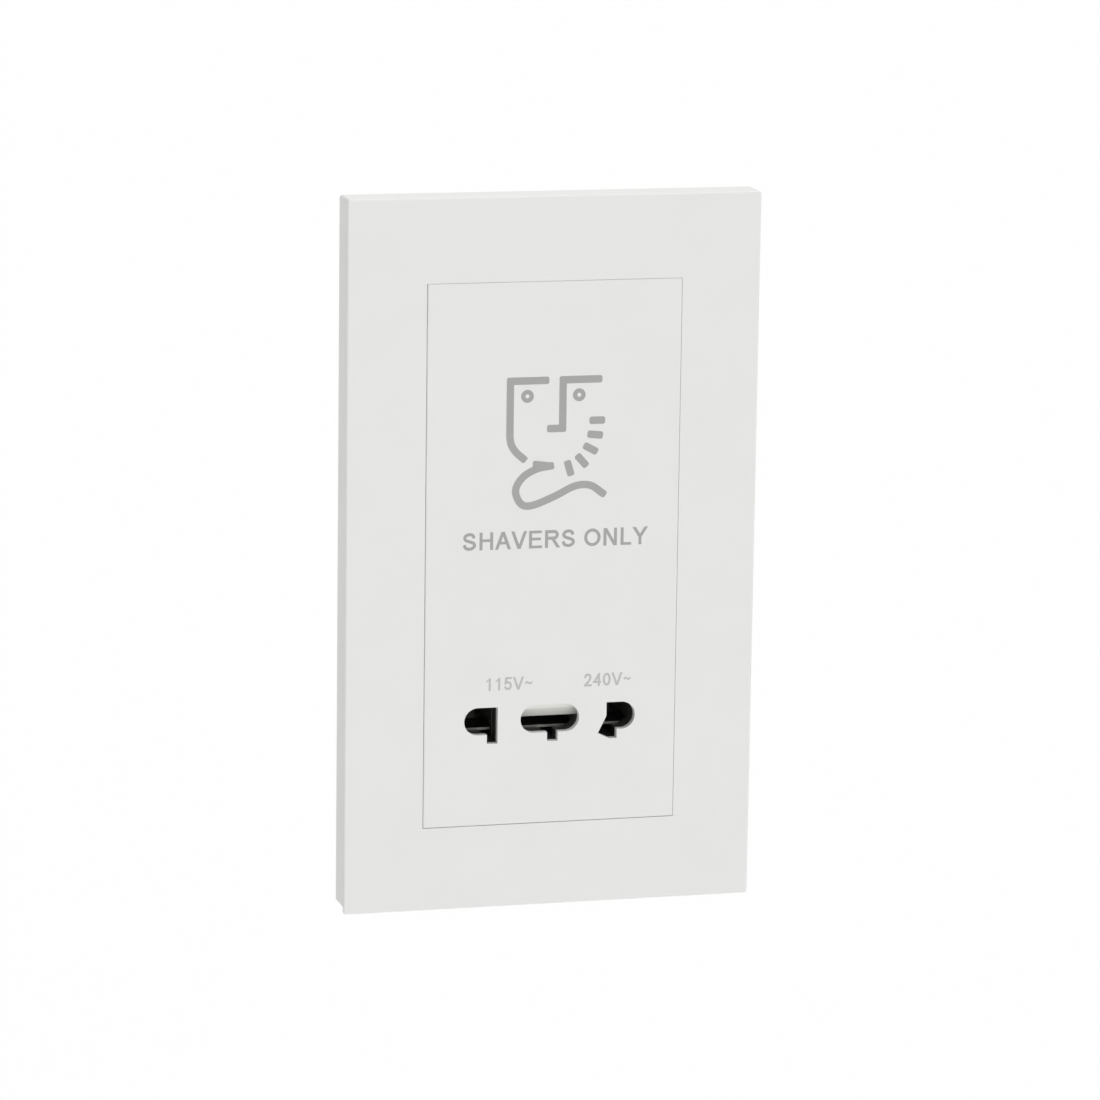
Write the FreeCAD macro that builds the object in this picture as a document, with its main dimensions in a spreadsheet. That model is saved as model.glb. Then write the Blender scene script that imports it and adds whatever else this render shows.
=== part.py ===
import FreeCAD, Part
import math
import os
from types import SimpleNamespace

import PartDesign
import Sketcher

# Shaver socket on a two-gang wall plate. The origin is the centre of the wall plane, +Z is up,
# the front looks along -Y and the housing reaches back along +Y. Sizes are in millimetres.

SIZES = {
    # wall plate
    "plate_height": 147.0,
    "plate_width": 86.0,
    "plate_depth": 7.4,
    "edge_round": 0.4,
    "corner_extra": 0.2,
    "frame_wall": 2.2,
    "frame_skin": 2.2,
    "rim_wall": 1.4,
    "pry_lip": 0.8,
    "pry_rise": 1.5,
    "web_thick": 1.2,
    "web_spacing": 26.0,
    # flush centre plate
    "insert_width": 53.0,
    "insert_height": 112.2,
    "insert_gap": 0.1,
    "insert_round": 0.25,
    "step_drop": 0.6,
    "step_reach": 0.7,
    "step_clear": 0.1,
    "cover_skin": 1.6,
    "cover_wall": 1.6,
    "rib_thick": 1.2,
    "rib_height": 1.2,
    "rib_spacing": 18.0,
    # mounting yoke and its snap clips
    "yoke_thick": 2.0,
    "yoke_gap": 1.0,
    "yoke_round": 4.0,
    "fixing_pitch": 120.6,
    "fixing_hole_radius": 2.1,
    "clip_rise": 40.0,
    "clip_length": 12.0,
    "clip_height": 3.2,
    "clip_thick": 1.5,
    "clip_clear": 0.3,
    # pin apertures
    "socket_drop": 34.27,
    "slot_height": 5.7,
    "left_flat": 11.0,
    "right_flat": 12.0,
    "side_end": 18.05,
    "centre_half": 6.2,
    "blade_pitch": 12.7,
    "notch_width": 2.25,
    "notch_drop": 1.9,
    "slant_angle": 26.5,
    "slant_length": 4.0,
    "slant_foot": 0.6,
    "aperture_margin": 0.3,
    # contact carrier
    "cover_clear": 0.2,
    "carrier_side_wall": 2.4,
    "carrier_foot": 3.0,
    "carrier_roof": 1.6,
    "carrier_flange": 2.0,
    "carrier_depth": 12.5,
    "flange_clear": 0.4,
    "pocket_wall": 1.4,
    "retainer_thick": 2.0,
    "retainer_leg": 3.0,
    # shutter and its spring
    "shutter_width": 14.4,
    "shutter_thick": 2.4,
    "shutter_height": 5.0,
    "shutter_overlap": 0.23,
    "shutter_tip": 0.4,
    "shutter_travel": 3.1,
    "slide_clear": 0.2,
    "spring_shut": 4.6,
    "spring_radius": 1.0,
    "spring_wire": 0.22,
    "spring_turns": 4.5,
    "peg_radius": 0.65,
    "peg_height": 1.6,
    # pin contacts
    "contact_strip": 0.5,
    "contact_half": 3.2,
    "pinch_half": 1.75,
    "mouth_half": 2.75,
    "pinch_depth": 5.0,
    "mouth_clear": 0.4,
    "contact_clear": 0.3,
    "tail_width": 3.0,
    "tail_thick": 0.8,
    "tail_clear": 0.15,
    "solder_stub": 1.2,
    # transformer
    "core_rise": 15.5,
    "core_setback": 14.0,
    "core_stack": 18.0,
    "leg_width": 16.0,
    "side_leg": 8.0,
    "core_window_width": 8.0,
    "core_window_length": 24.0,
    "clamp_thick": 1.0,
    "clamp_lip": 4.0,
    "clamp_tab": 8.0,
    "bobbin_wall": 1.0,
    "bobbin_flange": 1.2,
    "bobbin_clear": 0.2,
    "flange_reach": 15.0,
    "winding_build": 4.2,
    "winding_round": 2.5,
    "pin_width": 0.7,
    "pin_spacing": 8.0,
    "pin_clear": 0.1,
    # circuit board and thermal cut-out
    "board_thick": 1.6,
    "board_gap": 0.4,
    "post_width": 3.4,
    "cutout_length": 15.0,
    "cutout_height": 5.0,
    "cutout_thick": 4.5,
    "cutout_clear": 2.0,
    "lead_width": 0.9,
    "lead_thick": 0.5,
    "lead_inset": 1.4,
    # rear housing
    "housing_depth": 43.0,
    "housing_wall": 2.0,
    "housing_gap": 0.8,
    "housing_round": 3.0,
    "housing_bevel": 1.2,
    "ear_round": 1.6,
    "ear_thick": 2.5,
    "ear_gap": 0.4,
    "vent_width": 2.0,
    "vent_length": 16.0,
    "vent_pitch": 5.0,
    # housing screws
    "screw_spread": 16.0,
    "boss_radius": 2.6,
    "screw_radius": 1.3,
    "screw_head_radius": 2.5,
    "screw_head": 1.8,
    "screw_clear": 0.15,
    "thread_clear": 0.05,
    "slot_width": 0.8,
    "slot_depth": 0.9,
    # mains terminals
    "terminal_pitch": 11.0,
    "terminal_block_height": 12.4,
    "terminal_wall": 2.2,
    "terminal_floor": 2.0,
    "cage_width": 6.6,
    "cage_depth": 7.0,
    "cage_clear": 0.2,
    "wire_way_width": 4.0,
    "wire_way_depth": 3.4,
    "terminal_tail": 1.6,
    "terminal_screw_radius": 1.45,
    "terminal_head_radius": 2.6,
    "terminal_head": 1.8,
}


class Size:
    """A number together with the sheet expression that gives it."""

    def __init__(self, value, text):
        self.value = value
        self.text = text

    def __add__(self, other):
        other = as_size(other)
        return Size(self.value + other.value, f"({self.text} + {other.text})")

    def __sub__(self, other):
        other = as_size(other)
        return Size(self.value - other.value, f"({self.text} - {other.text})")

    def __mul__(self, other):
        other = as_size(other)
        return Size(self.value * other.value, f"({self.text} * {other.text})")

    def __truediv__(self, other):
        other = as_size(other)
        return Size(self.value / other.value, f"({self.text} / {other.text})")

    def __neg__(self):
        return Size(-self.value, f"(-1 * {self.text})")


def as_size(number):
    """Returns a plain number as a Size and leaves a Size as it is."""
    if isinstance(number, Size):
        return number
    return Size(float(number), f"({number})")


def largest(one, other):
    """The larger of two sizes, whichever it is after a change."""
    return Size(max(one.value, other.value), f"max({one.text}; {other.text})")


def bind(item, prop, size):
    """Ties a property of an object to its size."""
    item.setExpression(prop, as_size(size).text)


def make_sheet(doc):
    """Writes every size into the sheet and returns them by name."""
    sheet = doc.addObject("Spreadsheet::Sheet", "Sizes")
    for row, (name, value) in enumerate(SIZES.items(), start=1):
        sheet.set(f"A{row}", name)
        sheet.set(f"B{row}", str(value))
        sheet.setAlias(f"B{row}", name)
    doc.recompute()
    return SimpleNamespace(**{name: Size(value, f"Sizes.{name}") for name, value in SIZES.items()})


doc = FreeCAD.newDocument("ShaverSocket")
S = make_sheet(doc)
ZERO = as_size(0)


# sketch wires

def rectangle(left, right, low, high):
    """Corner points of an upright rectangle."""
    return [(left, low), (right, low), (right, high), (left, high)]


def centred(x, z, width, height):
    """Corner points of a rectangle about its centre."""
    return rectangle(x - width / 2, x + width / 2, z - height / 2, z + height / 2)


def circle(x, z, radius):
    """A round wire."""
    return {"x": as_size(x), "z": as_size(z), "radius": as_size(radius)}


def point_ties(geometry, position, x, z):
    """The two constraints that hold one sketch point, each with its size."""
    ties = []
    for kind, axis, size in (("DistanceX", -2, x), ("DistanceY", -1, z)):
        if size is ZERO:
            ties.append((Sketcher.Constraint("PointOnObject", geometry, position, axis), None))
        else:
            ties.append((Sketcher.Constraint(kind, -1, 1, geometry, position, size.value), size))
    return ties


def draw_circle(sketch, wire):
    """Draws a round wire and returns its constraints."""
    centre = FreeCAD.Vector(wire["x"].value, wire["z"].value, 0)
    normal = FreeCAD.Vector(0, 0, 1)
    index = sketch.addGeometry(Part.Circle(centre, normal, wire["radius"].value))
    ties = point_ties(index, 3, wire["x"], wire["z"])
    ties.append((Sketcher.Constraint("Radius", index, wire["radius"].value), wire["radius"]))
    return ties


def draw_outline(sketch, wire):
    """Draws a closed outline and returns its constraints.

    Each point is (x, z), or (x, z, turn) where a half circle leads on to the next point below or
    above it: turn 1 runs anticlockwise and -1 clockwise.
    """
    points = [(as_size(point[0]), as_size(point[1])) for point in wire]
    turns = [point[2] if len(point) > 2 else 0 for point in wire]
    ends = []
    ties = []
    for number, turn in enumerate(turns):
        x0, z0 = points[number]
        x1, z1 = points[(number + 1) % len(points)]
        start = FreeCAD.Vector(x0.value, z0.value, 0)
        end = FreeCAD.Vector(x1.value, z1.value, 0)
        if turn == 0:
            index = sketch.addGeometry(Part.LineSegment(start, end))
            ends.append((index, 1, 2))
            continue
        centre = (start + end) * 0.5
        ring = Part.Circle(centre, FreeCAD.Vector(0, 0, 1), (end - start).Length / 2)
        upright = math.pi / 2
        if (turn > 0) == (start.y > end.y):
            arc = Part.ArcOfCircle(ring, upright, 3 * upright)
        else:
            arc = Part.ArcOfCircle(ring, -upright, upright)
        index = sketch.addGeometry(arc)
        ends.append((index, 1, 2) if turn > 0 else (index, 2, 1))
        ties.append((Sketcher.Constraint("DistanceX", -1, 1, index, 3, x0.value), x0))
    for number, (index, first, last) in enumerate(ends):
        following = ends[(number + 1) % len(ends)]
        ties.append((Sketcher.Constraint("Coincident", index, last, following[0], following[1]), None))
        ties.extend(point_ties(index, first, *points[number]))
    return ties


PLANES = {
    "front": ("XZ_Plane", -1),
    "side": ("YZ_Plane", 1),
    "level": ("XY_Plane", 1),
}


def make_sketch(body, name, plane, at, wires):
    """A sketch on a plane of the body, moved along X, Y or Z to a given place.

    The front plane shows x and z, the side plane y and z, the level plane x and y.
    """
    role, normal = PLANES[plane]
    sketch = body.newObject("Sketcher::SketchObject", f"{name}Sketch")
    support = next(item for item in body.Origin.OriginFeatures if item.Role == role)
    sketch.AttachmentSupport = (support, [""])
    sketch.MapMode = "FlatFace"
    offset = as_size(at) * normal
    sketch.AttachmentOffset = FreeCAD.Placement(FreeCAD.Vector(0, 0, offset.value), FreeCAD.Rotation())
    bind(sketch, "AttachmentOffset.Base.z", offset)
    ties = []
    for wire in wires:
        draw = draw_circle if isinstance(wire, dict) else draw_outline
        ties.extend(draw(sketch, wire))
    indices = sketch.addConstraint([constraint for constraint, size in ties])
    for index, (constraint, size) in zip(indices, ties):
        if size is not None:
            bind(sketch, f"Constraints[{index}]", size)
    return sketch


def sweep_straight(kind, body, name, plane, start, end, wires):
    """Adds or removes the wires' area between two places along the plane's normal."""
    start = as_size(start)
    end = as_size(end)
    feature = body.newObject(f"PartDesign::{kind}", name)
    feature.Profile = make_sketch(body, name, plane, start, wires)
    forwards = (end.value > start.value) == (PLANES[plane][1] > 0)
    feature.Reversed = forwards == (kind == "Pocket")
    bind(feature, "Length", end - start if end.value > start.value else start - end)
    body.Tip = feature
    return feature


def add(body, name, plane, start, end, wires):
    """Adds material."""
    return sweep_straight("Pad", body, name, plane, start, end, wires)


def cut(body, name, plane, start, end, wires):
    """Removes material."""
    return sweep_straight("Pocket", body, name, plane, start, end, wires)


def make_body(name):
    """An empty body under its own name."""
    body = doc.addObject("PartDesign::Body", name)
    body.Label = name
    return body


def dress_edges(kind, prop, body, name, size, wanted):
    """Dresses the edges that a test picks on the body as it stands."""
    doc.recompute()
    base = body.Tip
    names = [f"Edge{number}" for number, edge in enumerate(base.Shape.Edges, start=1) if wanted(edge)]
    dressing = body.newObject(f"PartDesign::{kind}", name)
    dressing.Base = (base, names)
    bind(dressing, prop, size)
    body.Tip = dressing
    return dressing


def round_edges(body, name, radius, wanted):
    """Rounds edges."""
    return dress_edges("Fillet", "Radius", body, name, radius, wanted)


def bevel_edges(body, name, size, wanted):
    """Bevels edges."""
    return dress_edges("Chamfer", "Size", body, name, size, wanted)


def runs_back(edge):
    """Tells whether an edge runs straight along Y."""
    ends = [vertex.Point for vertex in edge.Vertexes]
    if len(ends) != 2:
        return False
    return abs(ends[0].x - ends[1].x) < 1e-6 and abs(ends[0].z - ends[1].z) < 1e-6


def runs_back_at(*heights):
    """Makes a test for edges that run straight along Y at one of some heights."""
    def wanted(edge):
        return runs_back(edge) and any(abs(edge.Vertexes[0].Point.z - z.value) < 1e-6 for z in heights)
    return wanted


def lies_at(place):
    """Makes a test for edges in the plane at a given y."""
    return lambda edge: all(abs(vertex.Point.y - place.value) < 1e-6 for vertex in edge.Vertexes)


def runs_across(edge):
    """Tells whether an edge runs straight along X."""
    ends = [vertex.Point for vertex in edge.Vertexes]
    if len(ends) != 2:
        return False
    return abs(ends[0].y - ends[1].y) < 1e-6 and abs(ends[0].z - ends[1].z) < 1e-6


def cylinder(name, radius, start, end, x, z):
    """A round bar along Y."""
    bar = doc.addObject("Part::Cylinder", name)
    start = as_size(start)
    bind(bar, "Radius", radius)
    bind(bar, "Height", end - start)
    bar.Placement.Rotation = FreeCAD.Rotation(FreeCAD.Vector(1, 0, 0), -90)
    bind(bar, "Placement.Base.x", x)
    bind(bar, "Placement.Base.y", start)
    bind(bar, "Placement.Base.z", z)
    return bar


def box(name, left, right, start, end, low, high):
    """A block between six planes."""
    block = doc.addObject("Part::Box", name)
    for prop, near, far in (("Length", left, right), ("Width", start, end), ("Height", low, high)):
        bind(block, prop, far - near)
    for prop, near in (("x", left), ("y", start), ("z", low)):
        bind(block, f"Placement.Base.{prop}", near)
    return block


def fuse(name, one, other):
    """Joins two shapes into one."""
    joined = doc.addObject("Part::Fuse", name)
    joined.Base = one
    joined.Tool = other
    return joined


def trim(name, one, other):
    """Cuts one shape by another."""
    result = doc.addObject("Part::Cut", name)
    result.Base = one
    result.Tool = other
    return result


def group(name, members):
    """Gathers alike pieces under one name."""
    compound = doc.addObject("Part::Compound", name)
    compound.Label = name
    compound.Links = members
    return compound


# places shared by the pieces, along Y from the front to the back

front = -S.plate_depth
step_front = front + S.step_drop
skin_back = front + S.cover_skin
carrier_front = skin_back + S.cover_clear
shutter_front = carrier_front + S.slide_clear
shutter_back = shutter_front + S.shutter_thick
channel_floor = shutter_back + S.slide_clear
yoke_front = -S.yoke_thick
pocket_front = channel_floor + S.pocket_wall
carrier_back = S.carrier_depth
retainer_back = carrier_back + S.retainer_thick
core_front = S.core_setback - S.core_stack / 2
core_back = S.core_setback + S.core_stack / 2
board_front = S.core_setback + S.flange_reach
board_back = board_front + S.board_thick
stub_end = board_back + S.solder_stub

# places along X and Z

plate_right = S.plate_width / 2
plate_top = S.plate_height / 2
frame_inner_x = plate_right - S.frame_wall
frame_inner_z = plate_top - S.frame_wall
insert_right = S.insert_width / 2
insert_top = S.insert_height / 2
cover_right = insert_right + S.step_reach
cover_top = insert_top + S.step_reach
cover_inner_x = cover_right - S.cover_wall
cover_inner_z = cover_top - S.cover_wall
yoke_right = frame_inner_x - S.yoke_gap
yoke_top = frame_inner_z - S.yoke_gap
fixing_top = S.fixing_pitch / 2

socket_z = -S.socket_drop
slot_top = socket_z + S.slot_height / 2
slot_low = socket_z - S.slot_height / 2
notch_low = slot_low - S.notch_drop
shutter_low = socket_z - S.shutter_overlap
shutter_top = shutter_low + S.shutter_height
spring_length = S.spring_shut + S.shutter_travel
channel_top = shutter_top + spring_length
channel_low = shutter_low - S.slide_clear
spring_y = shutter_front + S.shutter_thick / 2

carrier_right = S.side_end + S.aperture_margin + S.carrier_side_wall
carrier_top = channel_top + S.carrier_roof
carrier_low = notch_low - S.aperture_margin - S.carrier_foot
flange_right = cover_inner_x - S.flange_clear

leg_half = S.leg_width / 2
core_half_height = leg_half + S.core_window_width + S.side_leg
core_half_length = S.core_window_length / 2 + S.side_leg
clamp_right = core_half_length + S.clamp_thick
clamp_top = S.core_rise + core_half_height + S.clamp_thick
clamp_low = S.core_rise - core_half_height - S.clamp_thick

housing_inner_x = largest(carrier_right, clamp_right) + S.housing_gap
housing_right = housing_inner_x + S.housing_wall
housing_inner_top = clamp_top + S.housing_gap
housing_inner_low = carrier_low - S.housing_gap
housing_top = housing_inner_top + S.housing_wall
housing_low = housing_inner_low - S.housing_wall
boss_top = housing_top + S.ear_gap + S.boss_radius
boss_low = housing_low - S.ear_gap - S.boss_radius
ear_half = S.boss_radius + S.ear_gap
ear_top = boss_top + ear_half
ear_low = boss_low - ear_half
BOSSES = [(side * S.screw_spread, z) for side in (as_size(-1), as_size(1)) for z in (boss_low, boss_top)]

terminal_top = housing_low + S.terminal_block_height
terminal_z = housing_low + S.terminal_block_height / 2
terminal_floor = board_back + S.terminal_floor
cage_back = terminal_floor + S.cage_depth
wire_y = terminal_floor + S.cage_depth / 2
terminal_well = S.cage_width + S.cage_clear * 2
terminal_right = S.terminal_pitch + terminal_well / 2 + S.terminal_wall


def aperture_wires(margin):
    """The three pin apertures with their blade notches, opened out by a margin.

    The outer ones are flat on the side towards the middle. Two upright blades fit the notches of
    the left and centre ones, and the right one also takes a blade that stands at a slant.
    """
    top = slot_top + margin
    low = slot_low - margin
    bottom = notch_low - margin
    end = S.side_end + margin - (top - low) / 2
    middle = S.centre_half + margin - (top - low) / 2
    left_flat = margin - S.left_flat
    left_notch = -S.left_flat - S.notch_width - margin
    notch_left = S.blade_pitch - S.left_flat - S.notch_width - margin
    notch_right = S.blade_pitch - S.left_flat + margin
    right_flat = S.right_flat - margin
    right_notch = S.right_flat + S.notch_width + margin
    sine = Size(math.sin(math.radians(S.slant_angle.value)), f"sin({S.slant_angle.text})")
    cosine = Size(math.cos(math.radians(S.slant_angle.value)), f"cos({S.slant_angle.text})")
    tip_x = right_flat - S.slant_length * sine
    tip_z = socket_z - S.slant_length * cosine - margin
    left = [(-end, top, 1), (-end, low), (left_notch, low), (left_notch, bottom), (left_flat, bottom),
            (left_flat, top)]
    centre = [(-middle, top, 1), (-middle, low), (notch_left, low), (notch_left, bottom),
              (notch_right, bottom), (notch_right, low), (middle, low, 1), (middle, top)]
    right = [(right_flat, top), (right_flat, socket_z), (tip_x, tip_z),
             (right_flat + S.slant_foot, bottom), (right_notch, bottom), (right_notch, low),
             (end, low, 1), (end, top)]
    return [left, centre, right]


def make_surround_frame():
    """The clip-on frame: a hollow moulding that laps the cover's step, with a pry-off relief below."""
    body = make_body("surround_frame")
    outline = rectangle(-plate_right, plate_right, -plate_top, plate_top)
    add(body, "FrameBlock", "front", ZERO, front, [outline])
    round_edges(body, "FrameCorners", S.edge_round + S.corner_extra, runs_back)
    round_edges(body, "FrameFrontEdge", S.edge_round, lies_at(front))
    rebate_x = cover_right + S.insert_gap
    rebate_z = cover_top + S.insert_gap
    rim_x = rebate_x + S.rim_wall
    rim_z = rebate_z + S.rim_wall
    hollow = [rectangle(-frame_inner_x, frame_inner_x, -frame_inner_z, frame_inner_z),
              rectangle(-rim_x, rim_x, -rim_z, rim_z)]
    cut(body, "FrameHollow", "front", ZERO, front + S.frame_skin, hollow)
    cut(body, "FrameRimBack", "front", ZERO, yoke_front, [rectangle(-rim_x, rim_x, -rim_z, rim_z)])
    window_x = insert_right + S.insert_gap
    window_z = insert_top + S.insert_gap
    cut(body, "FrameWindow", "front", front, ZERO, [rectangle(-window_x, window_x, -window_z, window_z)])
    rebate = rectangle(-rebate_x, rebate_x, -rebate_z, rebate_z)
    cut(body, "FrameRebate", "front", ZERO, step_front - S.step_clear, [rebate])
    webs = []
    for side in (as_size(-1), as_size(1)):
        web_x = side * (rim_x + frame_inner_x) / 2
        for step in (-1, 0, 1):
            webs.append(centred(web_x, S.web_spacing * step, frame_inner_x - rim_x + S.rim_wall, S.web_thick))
    add(body, "FrameWebs", "front", front + S.frame_skin, yoke_front - S.clip_clear, webs)
    relief = rectangle(-plate_right * 2, plate_right * 2, -plate_top * 2, S.pry_rise - plate_top)
    cut(body, "FramePryRelief", "front", ZERO, front + S.pry_lip, [relief])
    catch = yoke_front - S.clip_height / 2 + S.clip_clear
    reach = S.yoke_gap - S.clip_clear
    for name, rise in (("Low", -S.clip_rise), ("High", S.clip_rise)):
        hooks = []
        for side in (as_size(-1), as_size(1)):
            wall = side * (frame_inner_x + S.clip_clear)
            nose = side * (frame_inner_x - reach)
            hooks.append([(wall, catch), (nose, catch), (nose, catch + S.clip_clear),
                          (wall, catch + S.clip_thick)])
        add(body, f"FrameHook{name}", "level", rise - S.clip_length / 2, rise + S.clip_length / 2, hooks)
    return body


def make_front_cover():
    """The flush centre plate: a shallow stepped tray with apertures, screw bosses and stiffening ribs."""
    body = make_body("front_cover")
    tray = rectangle(-cover_right, cover_right, -cover_top, cover_top)
    add(body, "CoverTray", "front", yoke_front, step_front, [tray])
    face = rectangle(-insert_right, insert_right, -insert_top, insert_top)
    add(body, "CoverFace", "front", step_front, front, [face])
    round_edges(body, "CoverFrontEdge", S.insert_round, lies_at(front))
    inside = rectangle(-cover_inner_x, cover_inner_x, -cover_inner_z, cover_inner_z)
    cut(body, "CoverHollow", "front", yoke_front, skin_back, [inside])
    bosses = [circle(x, z, S.boss_radius) for x, z in BOSSES]
    add(body, "CoverBosses", "front", skin_back, yoke_front, bosses)
    pilots = [circle(x, z, S.screw_radius + S.thread_clear) for x, z in BOSSES]
    cut(body, "CoverPilots", "front", yoke_front, skin_back + S.cover_clear, pilots)
    ribs = []
    for step in (-1, 0, 1):
        rib_z = S.core_rise + S.rib_spacing * step
        ribs.append(centred(ZERO, rib_z, cover_inner_x * 2 + S.cover_wall, S.rib_thick))
    add(body, "CoverRibs", "front", skin_back, skin_back + S.rib_height, ribs)
    grip_back = yoke_front - S.carrier_flange - S.cover_clear
    grip_x = (carrier_right + flange_right) / 2
    sides = (as_size(-1), as_size(1))
    grips = [centred(side * grip_x, socket_z, S.rib_thick, S.slot_height) for side in sides]
    add(body, "CoverGrips", "front", skin_back, grip_back, grips)
    cut(body, "CoverApertures", "front", front, skin_back, aperture_wires(ZERO))
    return body


def make_mounting_yoke():
    """The plate that screws to the wall box and holds frame and module."""
    body = make_body("mounting_yoke")
    outline = rectangle(-yoke_right, yoke_right, -yoke_top, yoke_top)
    add(body, "YokePlate", "front", ZERO, yoke_front, [outline])
    round_edges(body, "YokeCorners", S.yoke_round, runs_back)
    window_x = carrier_right + S.flange_clear
    window_top = S.core_rise + leg_half + S.core_window_width
    window = rectangle(-window_x, window_x, carrier_low - S.flange_clear, window_top)
    cut(body, "YokeWindow", "front", yoke_front, ZERO, [window])
    fixings = [circle(ZERO, z, S.fixing_hole_radius) for z in (-fixing_top, fixing_top)]
    cut(body, "YokeFixings", "front", yoke_front, ZERO, fixings)
    through = [circle(x, z, S.screw_radius + S.screw_clear) for x, z in BOSSES]
    cut(body, "YokeScrewHoles", "front", yoke_front, ZERO, through)
    catch = yoke_front - S.clip_height / 2
    tip = yoke_front - S.clip_height
    reach = S.yoke_gap - S.clip_clear
    for name, rise in (("Low", -S.clip_rise), ("High", S.clip_rise)):
        lugs = []
        for side in (as_size(-1), as_size(1)):
            inner = side * (yoke_right - S.clip_thick)
            outer = side * yoke_right
            nose = side * (yoke_right + reach)
            root = yoke_front + S.yoke_thick / 2
            lugs.append([(inner, root), (outer, root), (outer, catch), (nose, catch),
                         (nose, catch - S.clip_clear), (outer, tip), (inner, tip)])
        add(body, f"YokeLug{name}", "level", rise - S.clip_length / 2, rise + S.clip_length / 2, lugs)
    return body


def make_rear_housing():
    """The tub behind the yoke, with screw ears, board posts, vents and a corner left for the terminals."""
    body = make_body("rear_housing")
    outline = rectangle(-housing_right, housing_right, housing_low, housing_top)
    add(body, "HousingBlock", "front", ZERO, S.housing_depth, [outline])
    round_edges(body, "HousingCorners", S.housing_round, runs_back)
    bevel_edges(body, "HousingBackEdge", S.housing_bevel, lies_at(S.housing_depth))
    inner = rectangle(-housing_inner_x, housing_inner_x, housing_inner_low, housing_inner_top)
    floor = S.housing_depth - S.housing_wall
    cut(body, "HousingHollow", "front", ZERO, floor, [inner])
    ears = []
    for x, z in BOSSES:
        if z is boss_top:
            ears.append(rectangle(x - ear_half, x + ear_half, housing_top - S.housing_wall / 2, ear_top))
        else:
            ears.append(rectangle(x - ear_half, x + ear_half, ear_low, housing_low + S.housing_wall / 2))
    add(body, "HousingEars", "front", ZERO, S.ear_thick, ears)
    round_edges(body, "HousingEarCorners", S.ear_round, runs_back_at(ear_low, ear_top))
    through = [circle(x, z, S.screw_radius + S.screw_clear) for x, z in BOSSES]
    cut(body, "HousingScrewHoles", "front", S.ear_thick, ZERO, through)
    posts = []
    for side in (as_size(-1), as_size(1)):
        post_x = side * (housing_inner_x - S.post_width / 2)
        for post_z in (housing_inner_low + S.post_width / 2, housing_inner_top - S.post_width / 2):
            posts.append(centred(post_x, post_z, S.post_width, S.post_width))
    add(body, "HousingPosts", "front", floor, board_back, posts)
    corner_x = terminal_right + S.cage_clear
    corner = rectangle(-corner_x, corner_x, housing_low * 2, terminal_top + S.cage_clear)
    cut(body, "HousingTerminalCorner", "front", S.housing_depth, board_back - S.cage_clear, [corner])
    vent = centred(S.vent_pitch * -2, S.core_rise, S.vent_width, S.vent_length)
    first = cut(body, "HousingVent", "front", S.housing_depth, floor, [vent])
    row = body.newObject("PartDesign::LinearPattern", "HousingVentRow")
    row.Originals = [first]
    row.Direction = (first.Profile[0], ["H_Axis"])
    row.Occurrences = 5
    bind(row, "Length", S.vent_pitch * 4)
    body.Tip = row
    return body


def make_contact_carrier():
    """The black moulding behind the apertures, with contact pockets and the shutter's channel."""
    body = make_body("contact_carrier")
    outline = rectangle(-carrier_right, carrier_right, carrier_low, carrier_top)
    add(body, "CarrierBlock", "front", carrier_back, carrier_front, [outline])
    flange = rectangle(-flange_right, flange_right, carrier_low, carrier_top)
    add(body, "CarrierFlange", "front", yoke_front, yoke_front - S.carrier_flange, [flange])
    pockets = []
    for x, width in contact_places():
        half = width / 2 + S.contact_clear
        high = socket_z + S.mouth_half + S.contact_strip + S.contact_clear
        pockets.append(rectangle(x - half, x + half, notch_low - S.aperture_margin, high))
    cut(body, "CarrierPockets", "front", carrier_back, pocket_front, pockets)
    channel_x = S.shutter_width / 2 + S.slide_clear
    channel = rectangle(-channel_x, channel_x, channel_low, channel_top)
    cut(body, "CarrierChannel", "front", carrier_front, channel_floor, [channel])
    cut(body, "CarrierApertures", "front", carrier_front, pocket_front, aperture_wires(S.aperture_margin))
    peg = circle(ZERO, spring_y, S.peg_radius)
    add(body, "CarrierPeg", "level", channel_top, channel_top - S.peg_height, [peg])
    return body


def contact_places():
    """Centre and width of the three contacts, left to right, taken from the apertures they serve."""
    left = (-(S.left_flat + S.side_end) / 2, S.side_end - S.left_flat - S.contact_clear)
    centre = (ZERO, S.centre_half * 2 - S.contact_clear)
    right = ((S.right_flat + S.side_end) / 2, S.side_end - S.right_flat - S.contact_clear)
    return [left, centre, right]


TAIL_Z = socket_z + S.contact_half - S.tail_thick / 2


def contact_tails(margin):
    """Outlines of the contacts' tails, opened out by a margin for the slots they pass through."""
    width = S.tail_width + margin * 2
    height = S.tail_thick + margin * 2
    return [centred(x, TAIL_Z, width, height) for x, contact_width in contact_places()]


def make_contact(name, x, width):
    """A sprung strip folded to a fork that grips a pin from above and below, with a solder tail."""
    body = make_body(name)
    mouth = pocket_front + S.mouth_clear
    pinch = pocket_front + S.pinch_depth
    strip = S.contact_strip
    upper = [(mouth, S.mouth_half + strip), (mouth, S.mouth_half), (pinch, S.pinch_half),
             (carrier_back - strip, S.contact_half - strip)]
    lower = [(y, -rise) for y, rise in reversed(upper)]
    outer = [(pinch, -(S.pinch_half + strip)), (carrier_back, -S.contact_half),
             (carrier_back, S.contact_half), (pinch, S.pinch_half + strip)]
    fork = [(y, socket_z + rise) for y, rise in upper + lower + outer]
    add(body, "Fork", "side", x - width / 2, x + width / 2, [fork])
    tail = centred(x, TAIL_Z, S.tail_width, S.tail_thick)
    add(body, "Tail", "front", carrier_back, stub_end, [tail])
    return body


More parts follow.
